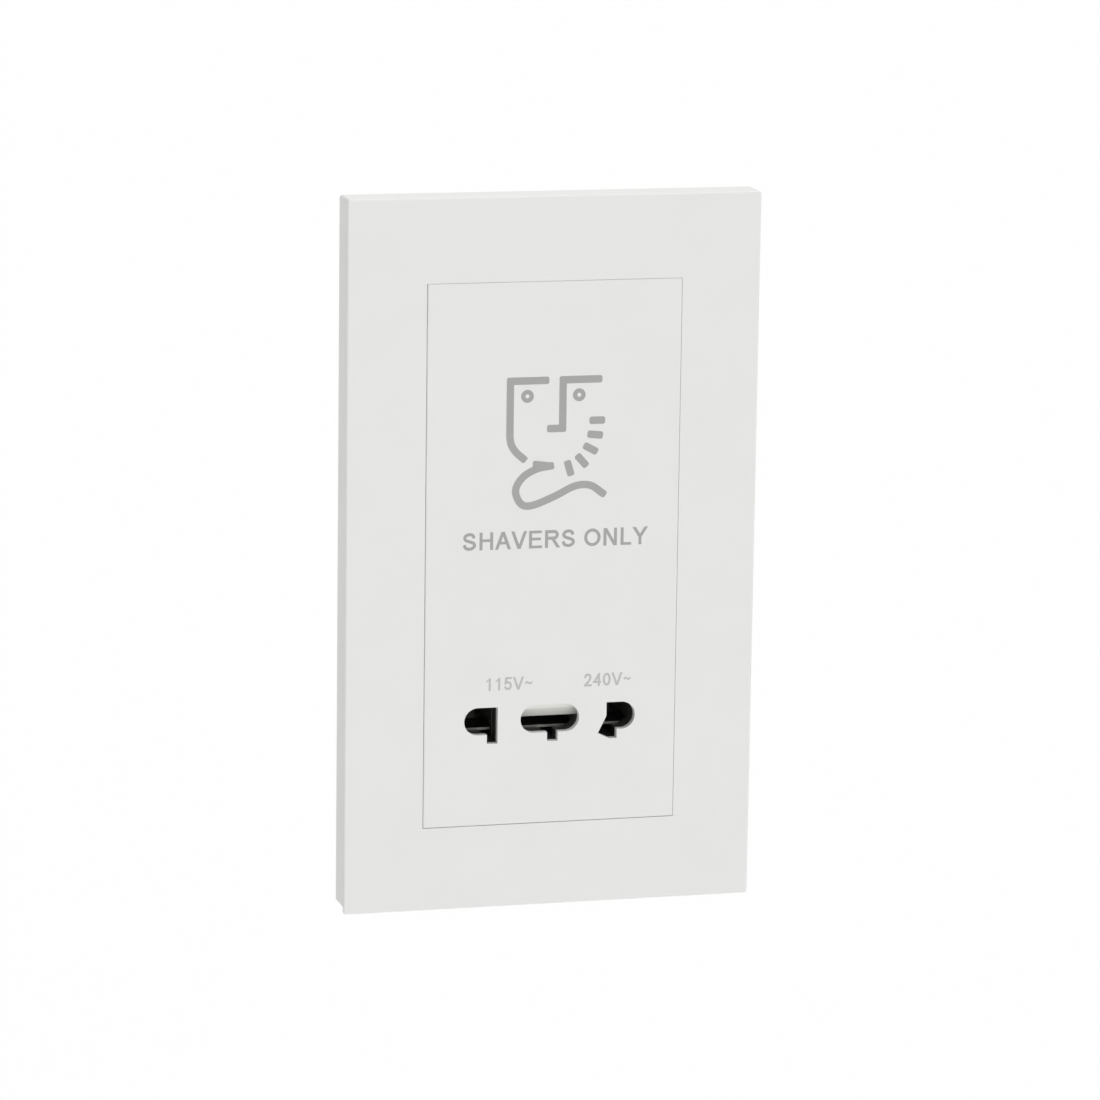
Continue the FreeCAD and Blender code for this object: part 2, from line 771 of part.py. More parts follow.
def make_contact_retainer():
    """The plate that closes the contact pockets, with legs that hold the board on its posts."""
    body = make_body("contact_retainer")
    outline = rectangle(-carrier_right, carrier_right, carrier_low, carrier_top)
    add(body, "RetainerPlate", "front", carrier_back, retainer_back, [outline])
    cut(body, "RetainerSlots", "front", retainer_back, carrier_back, contact_tails(S.tail_clear))
    legs = []
    for side in (as_size(-1), as_size(1)):
        leg_x = side * (carrier_right - S.retainer_leg / 2)
        for leg_z in (carrier_low + S.retainer_leg / 2, carrier_top - S.retainer_leg / 2):
            legs.append(centred(leg_x, leg_z, S.retainer_leg, S.retainer_leg))
    add(body, "RetainerLegs", "front", retainer_back, board_front, legs)
    return body


def make_shutter():
    """The sliding shutter: a ramp that a pin pushes up, with a peg for its spring."""
    body = make_body("shutter")
    ramp_rise = S.shutter_thick - S.shutter_tip
    profile = [(shutter_back, shutter_low), (shutter_back, shutter_top), (shutter_front, shutter_top),
               (shutter_front, shutter_low + ramp_rise), (shutter_back - S.shutter_tip, shutter_low)]
    add(body, "ShutterWedge", "side", -S.shutter_width / 2, S.shutter_width / 2, [profile])
    peg = circle(ZERO, spring_y, S.peg_radius)
    add(body, "ShutterPeg", "level", shutter_top, shutter_top + S.peg_height, [peg])
    return body


def make_shutter_spring():
    """The coil spring that pushes the shutter down."""
    helix = doc.addObject("Part::Helix", "SpringPath")
    bind(helix, "Radius", S.spring_radius)
    bind(helix, "Height", spring_length - S.spring_wire * 2)
    bind(helix, "Pitch", (spring_length - S.spring_wire * 2) / S.spring_turns)
    bind(helix, "Placement.Base.y", spring_y)
    bind(helix, "Placement.Base.z", shutter_top + S.spring_wire)
    wire = doc.addObject("Part::RegularPolygon", "SpringWire")
    wire.Polygon = 6
    bind(wire, "Circumradius", S.spring_wire)
    wire.Placement.Rotation = FreeCAD.Rotation(FreeCAD.Vector(1, 0, 0), 90)
    bind(wire, "Placement.Base.x", S.spring_radius)
    bind(wire, "Placement.Base.y", spring_y)
    bind(wire, "Placement.Base.z", shutter_top + S.spring_wire)
    spring = doc.addObject("Part::Sweep", "shutter_spring")
    spring.Label = "shutter_spring"
    spring.Sections = [wire]
    spring.Spine = (helix, ["Edge1"])
    spring.Solid = True
    spring.Frenet = True
    return spring


def make_transformer_core():
    """The stack of E and I laminations, its limbs along X."""
    body = make_body("transformer_core")
    wires = [centred(ZERO, S.core_rise, core_half_length * 2, core_half_height * 2)]
    for side in (as_size(-1), as_size(1)):
        window_z = S.core_rise + side * (leg_half + S.core_window_width / 2)
        wires.append(centred(ZERO, window_z, S.core_window_length, S.core_window_width))
    add(body, "Laminations", "front", core_back, core_front, wires)
    return body


def make_core_clamp():
    """The bent strap round the core, with two tabs that pass through the board."""
    body = make_body("core_clamp")
    lip_top = S.core_rise + core_half_height - S.clamp_lip
    lip_low = S.core_rise - core_half_height + S.clamp_lip
    core_top = S.core_rise + core_half_height
    core_low = S.core_rise - core_half_height
    strap = [(-clamp_right, lip_low), (-clamp_right, clamp_low), (clamp_right, clamp_low),
             (clamp_right, clamp_top), (-clamp_right, clamp_top), (-clamp_right, lip_top),
             (-core_half_length, lip_top), (-core_half_length, core_top), (core_half_length, core_top),
             (core_half_length, core_low), (-core_half_length, core_low), (-core_half_length, lip_low)]
    add(body, "Strap", "front", core_back, core_front, [strap])
    add(body, "Tabs", "front", core_back, stub_end, clamp_tabs(ZERO))
    return body


def clamp_tabs(margin):
    """Outlines of the clamp's two tabs, opened out by a margin for the slots in the board."""
    width = S.clamp_tab + margin * 2
    height = S.clamp_thick + margin * 2
    places = (clamp_low + S.clamp_thick / 2, clamp_top - S.clamp_thick / 2)
    return [centred(ZERO, z, width, height) for z in places]


bobbin_half = S.core_window_length / 2 - S.bobbin_clear
tube_inner_y = S.core_stack / 2 + S.bobbin_clear
tube_inner_z = leg_half + S.bobbin_clear
tube_outer_y = tube_inner_y + S.bobbin_wall
tube_outer_z = tube_inner_z + S.bobbin_wall


def around_limb(half_y, half_z):
    """A rectangle about the core's middle limb, as seen along X."""
    return centred(S.core_setback, S.core_rise, half_y * 2, half_z * 2)


def make_coil_bobbin():
    """The two-chamber former that keeps the windings apart."""
    body = make_body("coil_bobbin")
    bore = around_limb(tube_inner_y, tube_inner_z)
    tube = [around_limb(tube_outer_y, tube_outer_z), bore]
    add(body, "BobbinTube", "side", -bobbin_half, bobbin_half, tube)
    flange_z = leg_half + S.core_window_width - S.bobbin_clear
    flange = [around_limb(S.flange_reach, flange_z), bore]
    add(body, "BobbinFlangeLeft", "side", -bobbin_half, S.bobbin_flange - bobbin_half, flange)
    add(body, "BobbinPartition", "side", -S.bobbin_flange / 2, S.bobbin_flange / 2, flange)
    add(body, "BobbinFlangeRight", "side", bobbin_half - S.bobbin_flange, bobbin_half, flange)
    return body


def make_winding(name, start, end):
    """A wound coil that fills one chamber of the former."""
    body = make_body(name)
    outer_y = tube_outer_y + S.winding_build
    outer_z = tube_outer_z + S.winding_build
    add(body, "Coil", "side", start, end, [around_limb(outer_y, outer_z)])
    round_edges(body, "CoilCorners", S.winding_round, runs_across)
    cut(body, "CoilOpening", "side", start, end, [around_limb(tube_outer_y, tube_outer_z)])
    return body


def bobbin_pin_places():
    """Where the former's pins go through the board."""
    row_x = bobbin_half - S.bobbin_flange / 2
    steps = (as_size(-1.5), as_size(-0.5), as_size(0.5), as_size(1.5))
    sides = (as_size(-1), as_size(1))
    return [(side * row_x, S.core_rise + S.pin_spacing * step) for side in sides for step in steps]


def make_bobbin_pins():
    """The solder pins of the former."""
    pins = []
    half = S.pin_width / 2
    for number, (x, z) in enumerate(bobbin_pin_places(), start=1):
        pins.append(box(f"BobbinPin{number}", x - half, x + half, board_front, stub_end, z - half, z + half))
    return group("bobbin_pins", pins)


cutout_top = clamp_low - S.cutout_clear
cutout_z = cutout_top - S.cutout_height / 2
cutout_lead_x = S.cutout_length / 2 - S.lead_inset


def cutout_leads(margin):
    """Outlines of the cut-out's two leads, opened out by a margin for the holes in the board."""
    width = S.lead_width + margin * 2
    height = S.lead_thick + margin * 2
    return [centred(side * cutout_lead_x, cutout_z, width, height) for side in (as_size(-1), as_size(1))]


def make_thermal_cutout():
    """The thermal cut-out on the board, under the transformer."""
    body = make_body("thermal_cutout")
    case = centred(ZERO, cutout_z, S.cutout_length, S.cutout_height)
    add(body, "CutoutCase", "front", board_front, board_front - S.cutout_thick, [case])
    add(body, "CutoutLeads", "front", board_front, stub_end, cutout_leads(ZERO))
    return body


TERMINALS = [
    ("terminal_neutral", -S.terminal_pitch),
    ("terminal_earth", ZERO),
    ("terminal_line", S.terminal_pitch),
]


def terminal_tails(margin):
    """Outlines of the terminals' tails, opened out by a margin for the slots they pass through."""
    width = S.terminal_tail + margin * 2
    height = S.tail_thick + margin * 2
    return [centred(x, terminal_z, width, height) for name, x in TERMINALS]


def make_circuit_board():
    """The board that joins transformer, contacts, cut-out and terminals."""
    body = make_body("circuit_board")
    edge_x = housing_inner_x - S.board_gap
    outline = rectangle(-edge_x, edge_x, housing_inner_low + S.board_gap, housing_inner_top - S.board_gap)
    add(body, "BoardSheet", "front", board_back, board_front, [outline])
    slots = clamp_tabs(S.tail_clear) + contact_tails(S.tail_clear) + terminal_tails(S.tail_clear)
    cut(body, "BoardSlots", "front", board_front, board_back, slots)
    hole = S.pin_width + S.pin_clear * 2
    holes = [centred(x, z, hole, hole) for x, z in bobbin_pin_places()]
    cut(body, "BoardHoles", "front", board_front, board_back, holes + cutout_leads(S.pin_clear))
    return body


def wire_way(x):
    """Outline of the way that a wire takes through the block and its terminal, as seen from below."""
    return centred(x, wire_y, S.wire_way_width, S.wire_way_depth)


def make_terminal_block():
    """The moulding that houses the mains terminals: screws face back, wires enter from below."""
    body = make_body("terminal_block")
    outline = rectangle(-terminal_right, terminal_right, housing_low, terminal_top)
    add(body, "BlockBody", "front", board_back, S.housing_depth, [outline])
    well_height = S.terminal_block_height - S.terminal_wall * 2
    wells = [centred(x, terminal_z, terminal_well, well_height) for name, x in TERMINALS]
    cut(body, "BlockWells", "front", S.housing_depth, terminal_floor, wells)
    entries = [wire_way(x) for name, x in TERMINALS]
    cut(body, "BlockEntries", "level", housing_low, housing_low + S.terminal_wall, entries)
    cut(body, "BlockTails", "front", terminal_floor, board_back, terminal_tails(S.tail_clear))
    return body


def make_terminal(name, x):
    """A brass clamp with its wire bore, screw bore and solder tail."""
    body = make_body(name)
    height = S.terminal_block_height - S.terminal_wall * 2 - S.cage_clear * 2
    cage = centred(x, terminal_z, S.cage_width, height)
    add(body, "Cage", "front", terminal_floor, cage_back, [cage])
    tail = centred(x, terminal_z, S.terminal_tail, S.tail_thick)
    add(body, "CageTail", "front", terminal_floor, board_front - S.solder_stub, [tail])
    cut(body, "WireWay", "level", terminal_z - height / 2, terminal_z + height / 2, [wire_way(x)])
    thread = circle(x, terminal_z, S.terminal_screw_radius + S.thread_clear)
    cut(body, "ScrewBore", "front", cage_back, wire_y, [thread])
    return body


def make_screw(name, radius, head_radius, head, tip, seat, x, z):
    """A slotted screw along Y, its head behind its seat."""
    shank = cylinder(f"{name}Shank", radius, tip, seat, x, z)
    cap = cylinder(f"{name}Head", head_radius, seat, seat + head, x, z)
    top = seat + head
    slot = box(f"{name}Slot", x - head_radius * 2, x + head_radius * 2, top - S.slot_depth, top + head,
               z - S.slot_width / 2, z + S.slot_width / 2)
    return trim(name, fuse(f"{name}Blank", shank, cap), slot)


def make_housing_screws():
    """The four screws through ears and yoke into the cover's bosses."""
    tip = skin_back + S.cover_clear * 2
    screws = []
    for number, (x, z) in enumerate(BOSSES, start=1):
        screws.append(make_screw(f"HousingScrew{number}", S.screw_radius, S.screw_head_radius,
                                 S.screw_head, tip, S.ear_thick, x, z))
    return group("housing_screws", screws)


def make_terminal_screws():
    """The three wire-clamping screws."""
    tip = cage_back - S.cage_depth / 2
    screws = []
    for name, x in TERMINALS:
        screws.append(make_screw(f"{name}_screw", S.terminal_screw_radius, S.terminal_head_radius,
                                 S.terminal_head, tip, cage_back, x, terminal_z))
    return group("terminal_screws", screws)


def make_pieces():
    """Builds every piece in the order in which they go together."""
    pieces = [make_surround_frame(), make_front_cover(), make_mounting_yoke(), make_rear_housing()]
    pieces += [make_contact_carrier(), make_contact_retainer()]
    for name, (x, width) in zip(("contact_left", "contact_centre", "contact_right"), contact_places()):
        pieces.append(make_contact(name, x, width))
    pieces += [make_shutter(), make_shutter_spring()]
    pieces += [make_transformer_core(), make_core_clamp(), make_coil_bobbin()]
    pieces.append(make_winding("primary_winding", S.bobbin_flange - bobbin_half, -S.bobbin_flange / 2))
    pieces.append(make_winding("secondary_winding", S.bobbin_flange / 2, bobbin_half - S.bobbin_flange))
    pieces += [make_bobbin_pins(), make_circuit_board(), make_thermal_cutout(), make_terminal_block()]
    pieces += [make_terminal(name, x) for name, x in TERMINALS]
    pieces += [make_housing_screws(), make_terminal_screws()]
    return pieces


def check_document():
    """Stops the build where a feature failed or a cut took nothing away."""
    for item in doc.Objects:
        if "Invalid" in item.State or "Error" in item.State:
            raise RuntimeError(f"{item.Name} failed: {item.State}")
        if item.isDerivedFrom("PartDesign::Pocket"):
            if item.Shape.Volume >= item.BaseFeature.Shape.Volume - 1e-6:
                raise RuntimeError(f"{item.Name} removes nothing")


def write_pieces(pieces):
    """Writes each piece to a file named after it."""
    os.makedirs("parts", exist_ok=True)
    for piece in pieces:
        if piece.Shape.isNull() or not piece.Shape.isValid():
            raise RuntimeError(f"{piece.Label} has no valid shape")
        piece.Shape.exportStep(f"parts/{piece.Label}.step")


pieces = make_pieces()
doc.recompute()
check_document()
write_pieces(pieces)
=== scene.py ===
import logging
import math
from dataclasses import dataclass
from enum import Enum
from typing import Any

import bmesh
import bpy
from mathutils import Euler, Matrix, Vector


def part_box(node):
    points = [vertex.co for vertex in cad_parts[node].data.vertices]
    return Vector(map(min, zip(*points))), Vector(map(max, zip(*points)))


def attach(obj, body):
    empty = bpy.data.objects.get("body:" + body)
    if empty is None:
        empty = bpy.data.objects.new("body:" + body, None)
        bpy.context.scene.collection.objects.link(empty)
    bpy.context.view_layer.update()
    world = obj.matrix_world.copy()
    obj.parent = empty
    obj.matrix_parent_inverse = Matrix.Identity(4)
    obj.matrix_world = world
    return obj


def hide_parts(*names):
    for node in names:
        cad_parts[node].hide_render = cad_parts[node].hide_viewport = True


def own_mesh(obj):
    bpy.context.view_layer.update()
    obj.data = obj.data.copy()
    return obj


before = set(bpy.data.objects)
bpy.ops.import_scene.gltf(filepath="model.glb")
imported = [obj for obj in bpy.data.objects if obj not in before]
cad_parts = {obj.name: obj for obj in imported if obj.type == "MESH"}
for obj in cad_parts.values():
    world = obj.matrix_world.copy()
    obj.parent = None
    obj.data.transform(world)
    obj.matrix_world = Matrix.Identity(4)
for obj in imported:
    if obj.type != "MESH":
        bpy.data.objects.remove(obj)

# Looks of a flush shaver socket: finishes for the solids, the print on the cover, and fine detail
# on the inner works. Lengths are metres, and a size written in millimetres is multiplied by MM.

MM = 0.001
# Points nearer than WELD are one, and those nearer than NEAR lie in one plane.
WELD = 0.001 * MM
NEAR = 0.01 * MM
# Spans of a rounded corner, and the bend in degrees from which a line's corner is rounded.
CORNER_STEPS = 6
SHARP_BEND = 20
GRAIN_DETAIL, PATCH_DETAIL = 3.0, 2.0
BUMP_STRENGTH = 0.5
BASE = "socket_base"
# The Mix node's colour sockets, which share their names with its other kinds of socket.
MIX_FIRST, MIX_SECOND, MIX_RESULT = 6, 7, 2
LOG = logging.getLogger("shaver_socket")

Socket = bpy.types.NodeSocket
NodeInputs = dict[Any, Any]
Size = int | float | Vector
Point = tuple[float, float]
Outline = list[Point]


def linear(colour: str) -> tuple[float, float, float, float]:
    """Turns an sRGB hex colour into linear red, green, blue and alpha.

    Args:
        colour: Hex text such as "#E4E4E2".

    Returns:
        The linear colour, opaque.
    """
    shares = [int(colour[i:i + 2], 16) / 255 for i in (1, 3, 5)]
    red, green, blue = [s / 12.92 if s <= 0.04045 else ((s + 0.055) / 1.055) ** 2.4 for s in shares]
    return red, green, blue, 1.0


def add_node(tree: bpy.types.NodeTree, kind: str, inputs: NodeInputs | None = None,
             **settings: Any) -> bpy.types.Node:
    """Adds a node, sets it and links it.

    Args:
        tree: The tree that gets the node.
        kind: The node's type name.
        inputs: By socket name or number, a plain value, a socket to link from, or a list of sockets.
        settings: Properties of the node itself.

    Returns:
        The new node.
    """
    node = tree.nodes.new(kind)
    for name, value in settings.items():
        setattr(node, name, value)
    for key, value in (inputs or {}).items():
        for source in value if isinstance(value, list) else [value]:
            if isinstance(source, Socket):
                tree.links.new(source, node.inputs[key])
            else:
                node.inputs[key].default_value = source
    return node


class Pattern(Enum):
    """How a surface's fine pattern runs: evenly, or as lines 25 times as long as they are wide."""

    GRAIN = (1.0, 1.0, 1.0)
    ALONG_Y = (1.0, 0.04, 1.0)
    ALONG_Z = (1.0, 1.0, 0.04)


@dataclass(frozen=True)
class Finish:
    """One real material and the way its surface was made.

    Attributes:
        name: What the material is called.
        slot: The record's material slot; not used.
        pale: sRGB hex of its paler patches.
        deep: sRGB hex of its deeper patches.
        roughness: Mean roughness.
        spread: How far the roughness wanders.
        metallic: 1 for a bare metal.
        ior: Index of refraction, left at the default on a metal.
        pattern: How the fine pattern runs.
        grain_mm: Size of one grain or drawing line.
        patch_mm: Size of one patch of colour.
        relief_mm: Height of the grain.
        coat: Strength of a clear coat, as on enamelled wire.
    """

    name: str
    slot: str
    pale: str
    deep: str
    roughness: float = 0.5
    spread: float = 0.06
    metallic: float = 0.0
    ior: float = 1.5
    pattern: Pattern = Pattern.GRAIN
    grain_mm: float = 0.4
    patch_mm: float = 12.0
    relief_mm: float = 0.004
    coat: float = 0.0

    def material(self) -> bpy.types.Material:
        """Builds the material, or returns it if it is there already.

        Returns:
            A node material on Object coordinates.
        """
        found = bpy.data.materials.get(self.name)
        if found is not None:
            return found
        material = bpy.data.materials.new(self.name)
        material.use_nodes = True
        tree = material.node_tree
        tree.nodes.clear()
        place = add_node(tree, "ShaderNodeTexCoord").outputs["Object"]
        run = add_node(tree, "ShaderNodeMapping", {"Vector": place, "Scale": self.pattern.value})
        along = run.outputs["Vector"]
        grain = add_node(tree, "ShaderNodeTexNoise",
                         {"Vector": along, "Scale": 1 / (self.grain_mm * MM), "Detail": GRAIN_DETAIL})
        patch = add_node(tree, "ShaderNodeTexNoise",
                         {"Vector": place, "Scale": 1 / (self.patch_mm * MM), "Detail": PATCH_DETAIL})
        colour = add_node(tree, "ShaderNodeMix", {
            "Factor": patch.outputs["Fac"],
            MIX_FIRST: linear(self.deep),
            MIX_SECOND: linear(self.pale),
        }, data_type="RGBA")
        rough = add_node(tree, "ShaderNodeMapRange", {
            "Value": grain.outputs["Fac"],
            "To Min": self.roughness - self.spread,
            "To Max": self.roughness + self.spread,
        })
        bump = add_node(tree, "ShaderNodeBump", {
            "Height": grain.outputs["Fac"],
            "Strength": BUMP_STRENGTH,
            "Distance": self.relief_mm * MM,
        })
        shader = add_node(tree, "ShaderNodeBsdfPrincipled", {
            "Base Color": colour.outputs[MIX_RESULT],
            "Roughness": rough.outputs["Result"],
            "Normal": bump.outputs["Normal"],
            "Metallic": self.metallic,
            "IOR": self.ior,
            "Coat Weight": self.coat,
        })
        add_node(tree, "ShaderNodeOutputMaterial", {"Surface": shader.outputs["BSDF"]})
        return material


# Polycarbonate moulded in a finely eroded tool: an even, faintly warm white with a soft sheen.
# The eroded grain is about 0.05 mm on the real one, and is drawn coarser so that it shows.
WHITE_POLYCARBONATE = Finish("white_polycarbonate", "white_moulding", "#E6E6E4", "#E2E2E0",
                             roughness=0.46, ior=1.585, grain_mm=0.35, relief_mm=0.003)
# Glass-filled nylon: a dry mid grey in which the glass shows as a slight mottle.
GREY_NYLON = Finish("glass_filled_nylon", "grey_moulding", "#A1A3A5", "#999B9D",
                    roughness=0.58, ior=1.53, grain_mm=0.6, relief_mm=0.01, patch_mm=2.0)
# Polycarbonate again, but from a plain tool: paler grey, more matt.
PALE_HOUSING = Finish("pale_grey_polycarbonate", "housing_moulding", "#D0D1D0", "#CCCDCC",
                      roughness=0.55, ior=1.585, grain_mm=0.5, relief_mm=0.008)
# Flame-retardant polyester for parts that hold live metal: a dull black.
BLACK_POLYESTER = Finish("black_polyester", "black_moulding", "#4A4A48", "#3E3E3C",
                         roughness=0.5, ior=1.57, grain_mm=0.3, relief_mm=0.006)
# Natural acetal: a milky white, slippery and a little glossy.
NATURAL_ACETAL = Finish("natural_acetal", "shutter_moulding", "#EBEBE5", "#E6E6E0",
                        roughness=0.36, ior=1.48, grain_mm=0.25, relief_mm=0.003, patch_mm=4.0)
# Hard-drawn spring wire: bright, with fine lines along the draw.
SPRING_WIRE = Finish("drawn_spring_steel", "spring_steel", "#B9BABB", "#A3A4A6",
                     roughness=0.28, metallic=1.0, grain_mm=0.08, relief_mm=0.002, patch_mm=1.0)
# Zinc plate, passivated: bright bluish grey with a cloudy bloom.
ZINC_PLATE = Finish("zinc_plated_steel", "zinc_steel", "#C4C9CE", "#A9AFB5",
                    roughness=0.34, spread=0.1, metallic=1.0, grain_mm=0.3, relief_mm=0.003, patch_mm=2.0)
# Hot tin over steel: soft silver with rounded, slightly uneven skin.
TINNED_STEEL = Finish("tinned_steel", "tinned_steel", "#CFCFCB", "#BDBDB8",
                      roughness=0.3, metallic=1.0, grain_mm=0.4, relief_mm=0.006, patch_mm=1.5)
# Brass strip under tin plate: a soft grey metal with rolling lines along its length.
PLATED_BRASS = Finish("tin_plated_brass", "plated_brass", "#8E8D88", "#787772",
                      roughness=0.36, metallic=1.0, pattern=Pattern.ALONG_Y, grain_mm=0.2,
                      relief_mm=0.003, patch_mm=3.0)
# Rolled brass strip: warm yellow, with rolling lines along its length.
ROLLED_BRASS = Finish("rolled_brass", "contact_brass", "#D9B866", "#C19C4B",
                      roughness=0.3, metallic=1.0, pattern=Pattern.ALONG_Y, grain_mm=0.2,
                      relief_mm=0.003, patch_mm=3.0)
# Silicon steel sheet, blued by annealing: a dark bluish grey with rolling lines.
LAMINATION_STEEL = Finish("blued_silicon_steel", "lamination_steel", "#6A6E75", "#4C4F56",
                          roughness=0.45, spread=0.1, metallic=1.0, pattern=Pattern.ALONG_Z,
                          grain_mm=0.3, relief_mm=0.006, patch_mm=4.0)
# Natural nylon: ivory and matt.
IVORY_NYLON = Finish("ivory_nylon", "bobbin_nylon", "#E3DDCC", "#D6CFBC",
                     roughness=0.5, ior=1.53, grain_mm=0.4, relief_mm=0.005, patch_mm=5.0)
# Copper wire under a clear amber enamel: deep orange with a lacquered gloss.
ENAMELLED_COPPER = Finish("enamelled_copper", "winding_copper", "#C46A35", "#9C4A20",
                          roughness=0.3, metallic=1.0, grain_mm=0.3, relief_mm=0.002, patch_mm=1.2, coat=0.8)
# Paper laminate under green resist: the fibre of the base shows as a faint grain.
BOARD_LAMINATE = Finish("green_board_laminate", "board_laminate", "#2F6B45", "#255838",
                        roughness=0.38, ior=1.55, grain_mm=0.5, relief_mm=0.01, patch_mm=3.0)
# Phenolic case of the cut-out: near black, with a fine mineral speckle.
PHENOLIC_CASE = Finish("phenolic_case", "cutout_case", "#26251F", "#161512",
                       roughness=0.42, ior=1.6, grain_mm=0.15, relief_mm=0.004, patch_mm=0.6)
# Polyamide terminal moulding: charcoal, evenly matt.
CHARCOAL_POLYAMIDE = Finish("charcoal_polyamide", "terminal_moulding", "#45474A", "#3A3C3F",
                            roughness=0.52, ior=1.53, grain_mm=0.4, relief_mm=0.008, patch_mm=4.0)
# Pad-printed ink: a thin flat grey film that takes a little of the moulding's grain.
SIGN_INK = Finish("grey_pad_print", "print_ink", "#A5A5A4", "#A1A1A0",
                  roughness=0.55, grain_mm=0.35, relief_mm=0.002, patch_mm=6.0)
# The same ink, printed thinner for the small figures.
FIGURE_INK = Finish("thin_grey_pad_print", "print_ink", "#BDBDBC", "#B9B9B8",
                    roughness=0.55, grain_mm=0.35, relief_mm=0.002, patch_mm=6.0)


def dress(finish: Finish, *nodes: str) -> None:
    """Gives solids of the frame their finish.

    Args:
        finish: The material.
        nodes: Names of the solids.
    """
    for name in nodes:
        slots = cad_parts[name].data.materials
        slots.clear()
        slots.append(finish.material())
        LOG.info("%s: %s", name, finish.name)


def new_piece(name: str, mesh: bpy.types.Mesh, finish: Finish) -> bpy.types.Object:
    """Makes a piece of the fixed body from a finished mesh, and reports it.

    Args:
        name: The piece's name.
        mesh: Its mesh, with its place in it.
        finish: Its material.

    Returns:
        The piece, at the origin.
    """
    mesh.materials.clear()
    mesh.materials.append(finish.material())
    piece = bpy.data.objects.new(name, mesh)
    bpy.context.scene.collection.objects.link(piece)
    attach(piece, BASE)
    LOG.info("%s: %d faces in %s", name, len(mesh.polygons), finish.name)
    return piece


def film(outlines: list[Outline]) -> bpy.types.Mesh:
    """Makes flat closed slabs that face the front, one unit thick.

    Args:
        outlines: Closed outlines as x and z.

    Returns:
        One mesh of all the slabs, from y 0 to y -1.
    """
    form = bmesh.new()
    for outline in outlines:
        face = form.faces.new([form.verts.new((x, 0, z)) for x, z in outline])
        raised = bmesh.ops.extrude_face_region(form, geom=[face])
        moved = [item for item in raised["geom"] if isinstance(item, bmesh.types.BMVert)]
        bmesh.ops.translate(form, verts=moved, vec=(0, -1, 0))
    bmesh.ops.recalc_face_normals(form, faces=form.faces)
    mesh = bpy.data.meshes.new("film")
    form.to_mesh(mesh)
    form.free()
    return mesh


def merged(node: str) -> bpy.types.Mesh:
    """Copies a solid of the frame, with its triangles joined into one skin.

    Args:
        node: The solid's name.

    Returns:
        The copy.
    """
    form = bmesh.new()
    form.from_mesh(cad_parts[node].data)
    bmesh.ops.remove_doubles(form, verts=form.verts, dist=WELD)
    mesh = bpy.data.meshes.new(f"{node}_skin")
    form.to_mesh(mesh)
    form.free()
    return mesh


def solids_of(node: str) -> list[tuple[Vector, Vector]]:
    """Finds the separate solids of a node.

    Args:
        node: A solid of the frame that is a group.

    Returns:
        The lowest and highest corner of each, from left to right and then upwards.
    """
    form = bmesh.new()
    form.from_mesh(merged(node))
    waiting = set(form.verts)
    found = []
    while waiting:
        reached = [waiting.pop()]
        for vert in reached:
            near = {edge.other_vert(vert) for edge in vert.link_edges} & waiting
            waiting -= near
            reached.extend(near)
        places = [vert.co for vert in reached]
        low = Vector([min(p[i] for p in places) for i in range(3)])
        high = Vector([max(p[i] for p in places) for i in range(3)])
        found.append((low, high))
    form.free()
    return sorted(found, key=lambda box: (round(box[0].x / NEAR), round(box[0].z / NEAR)))


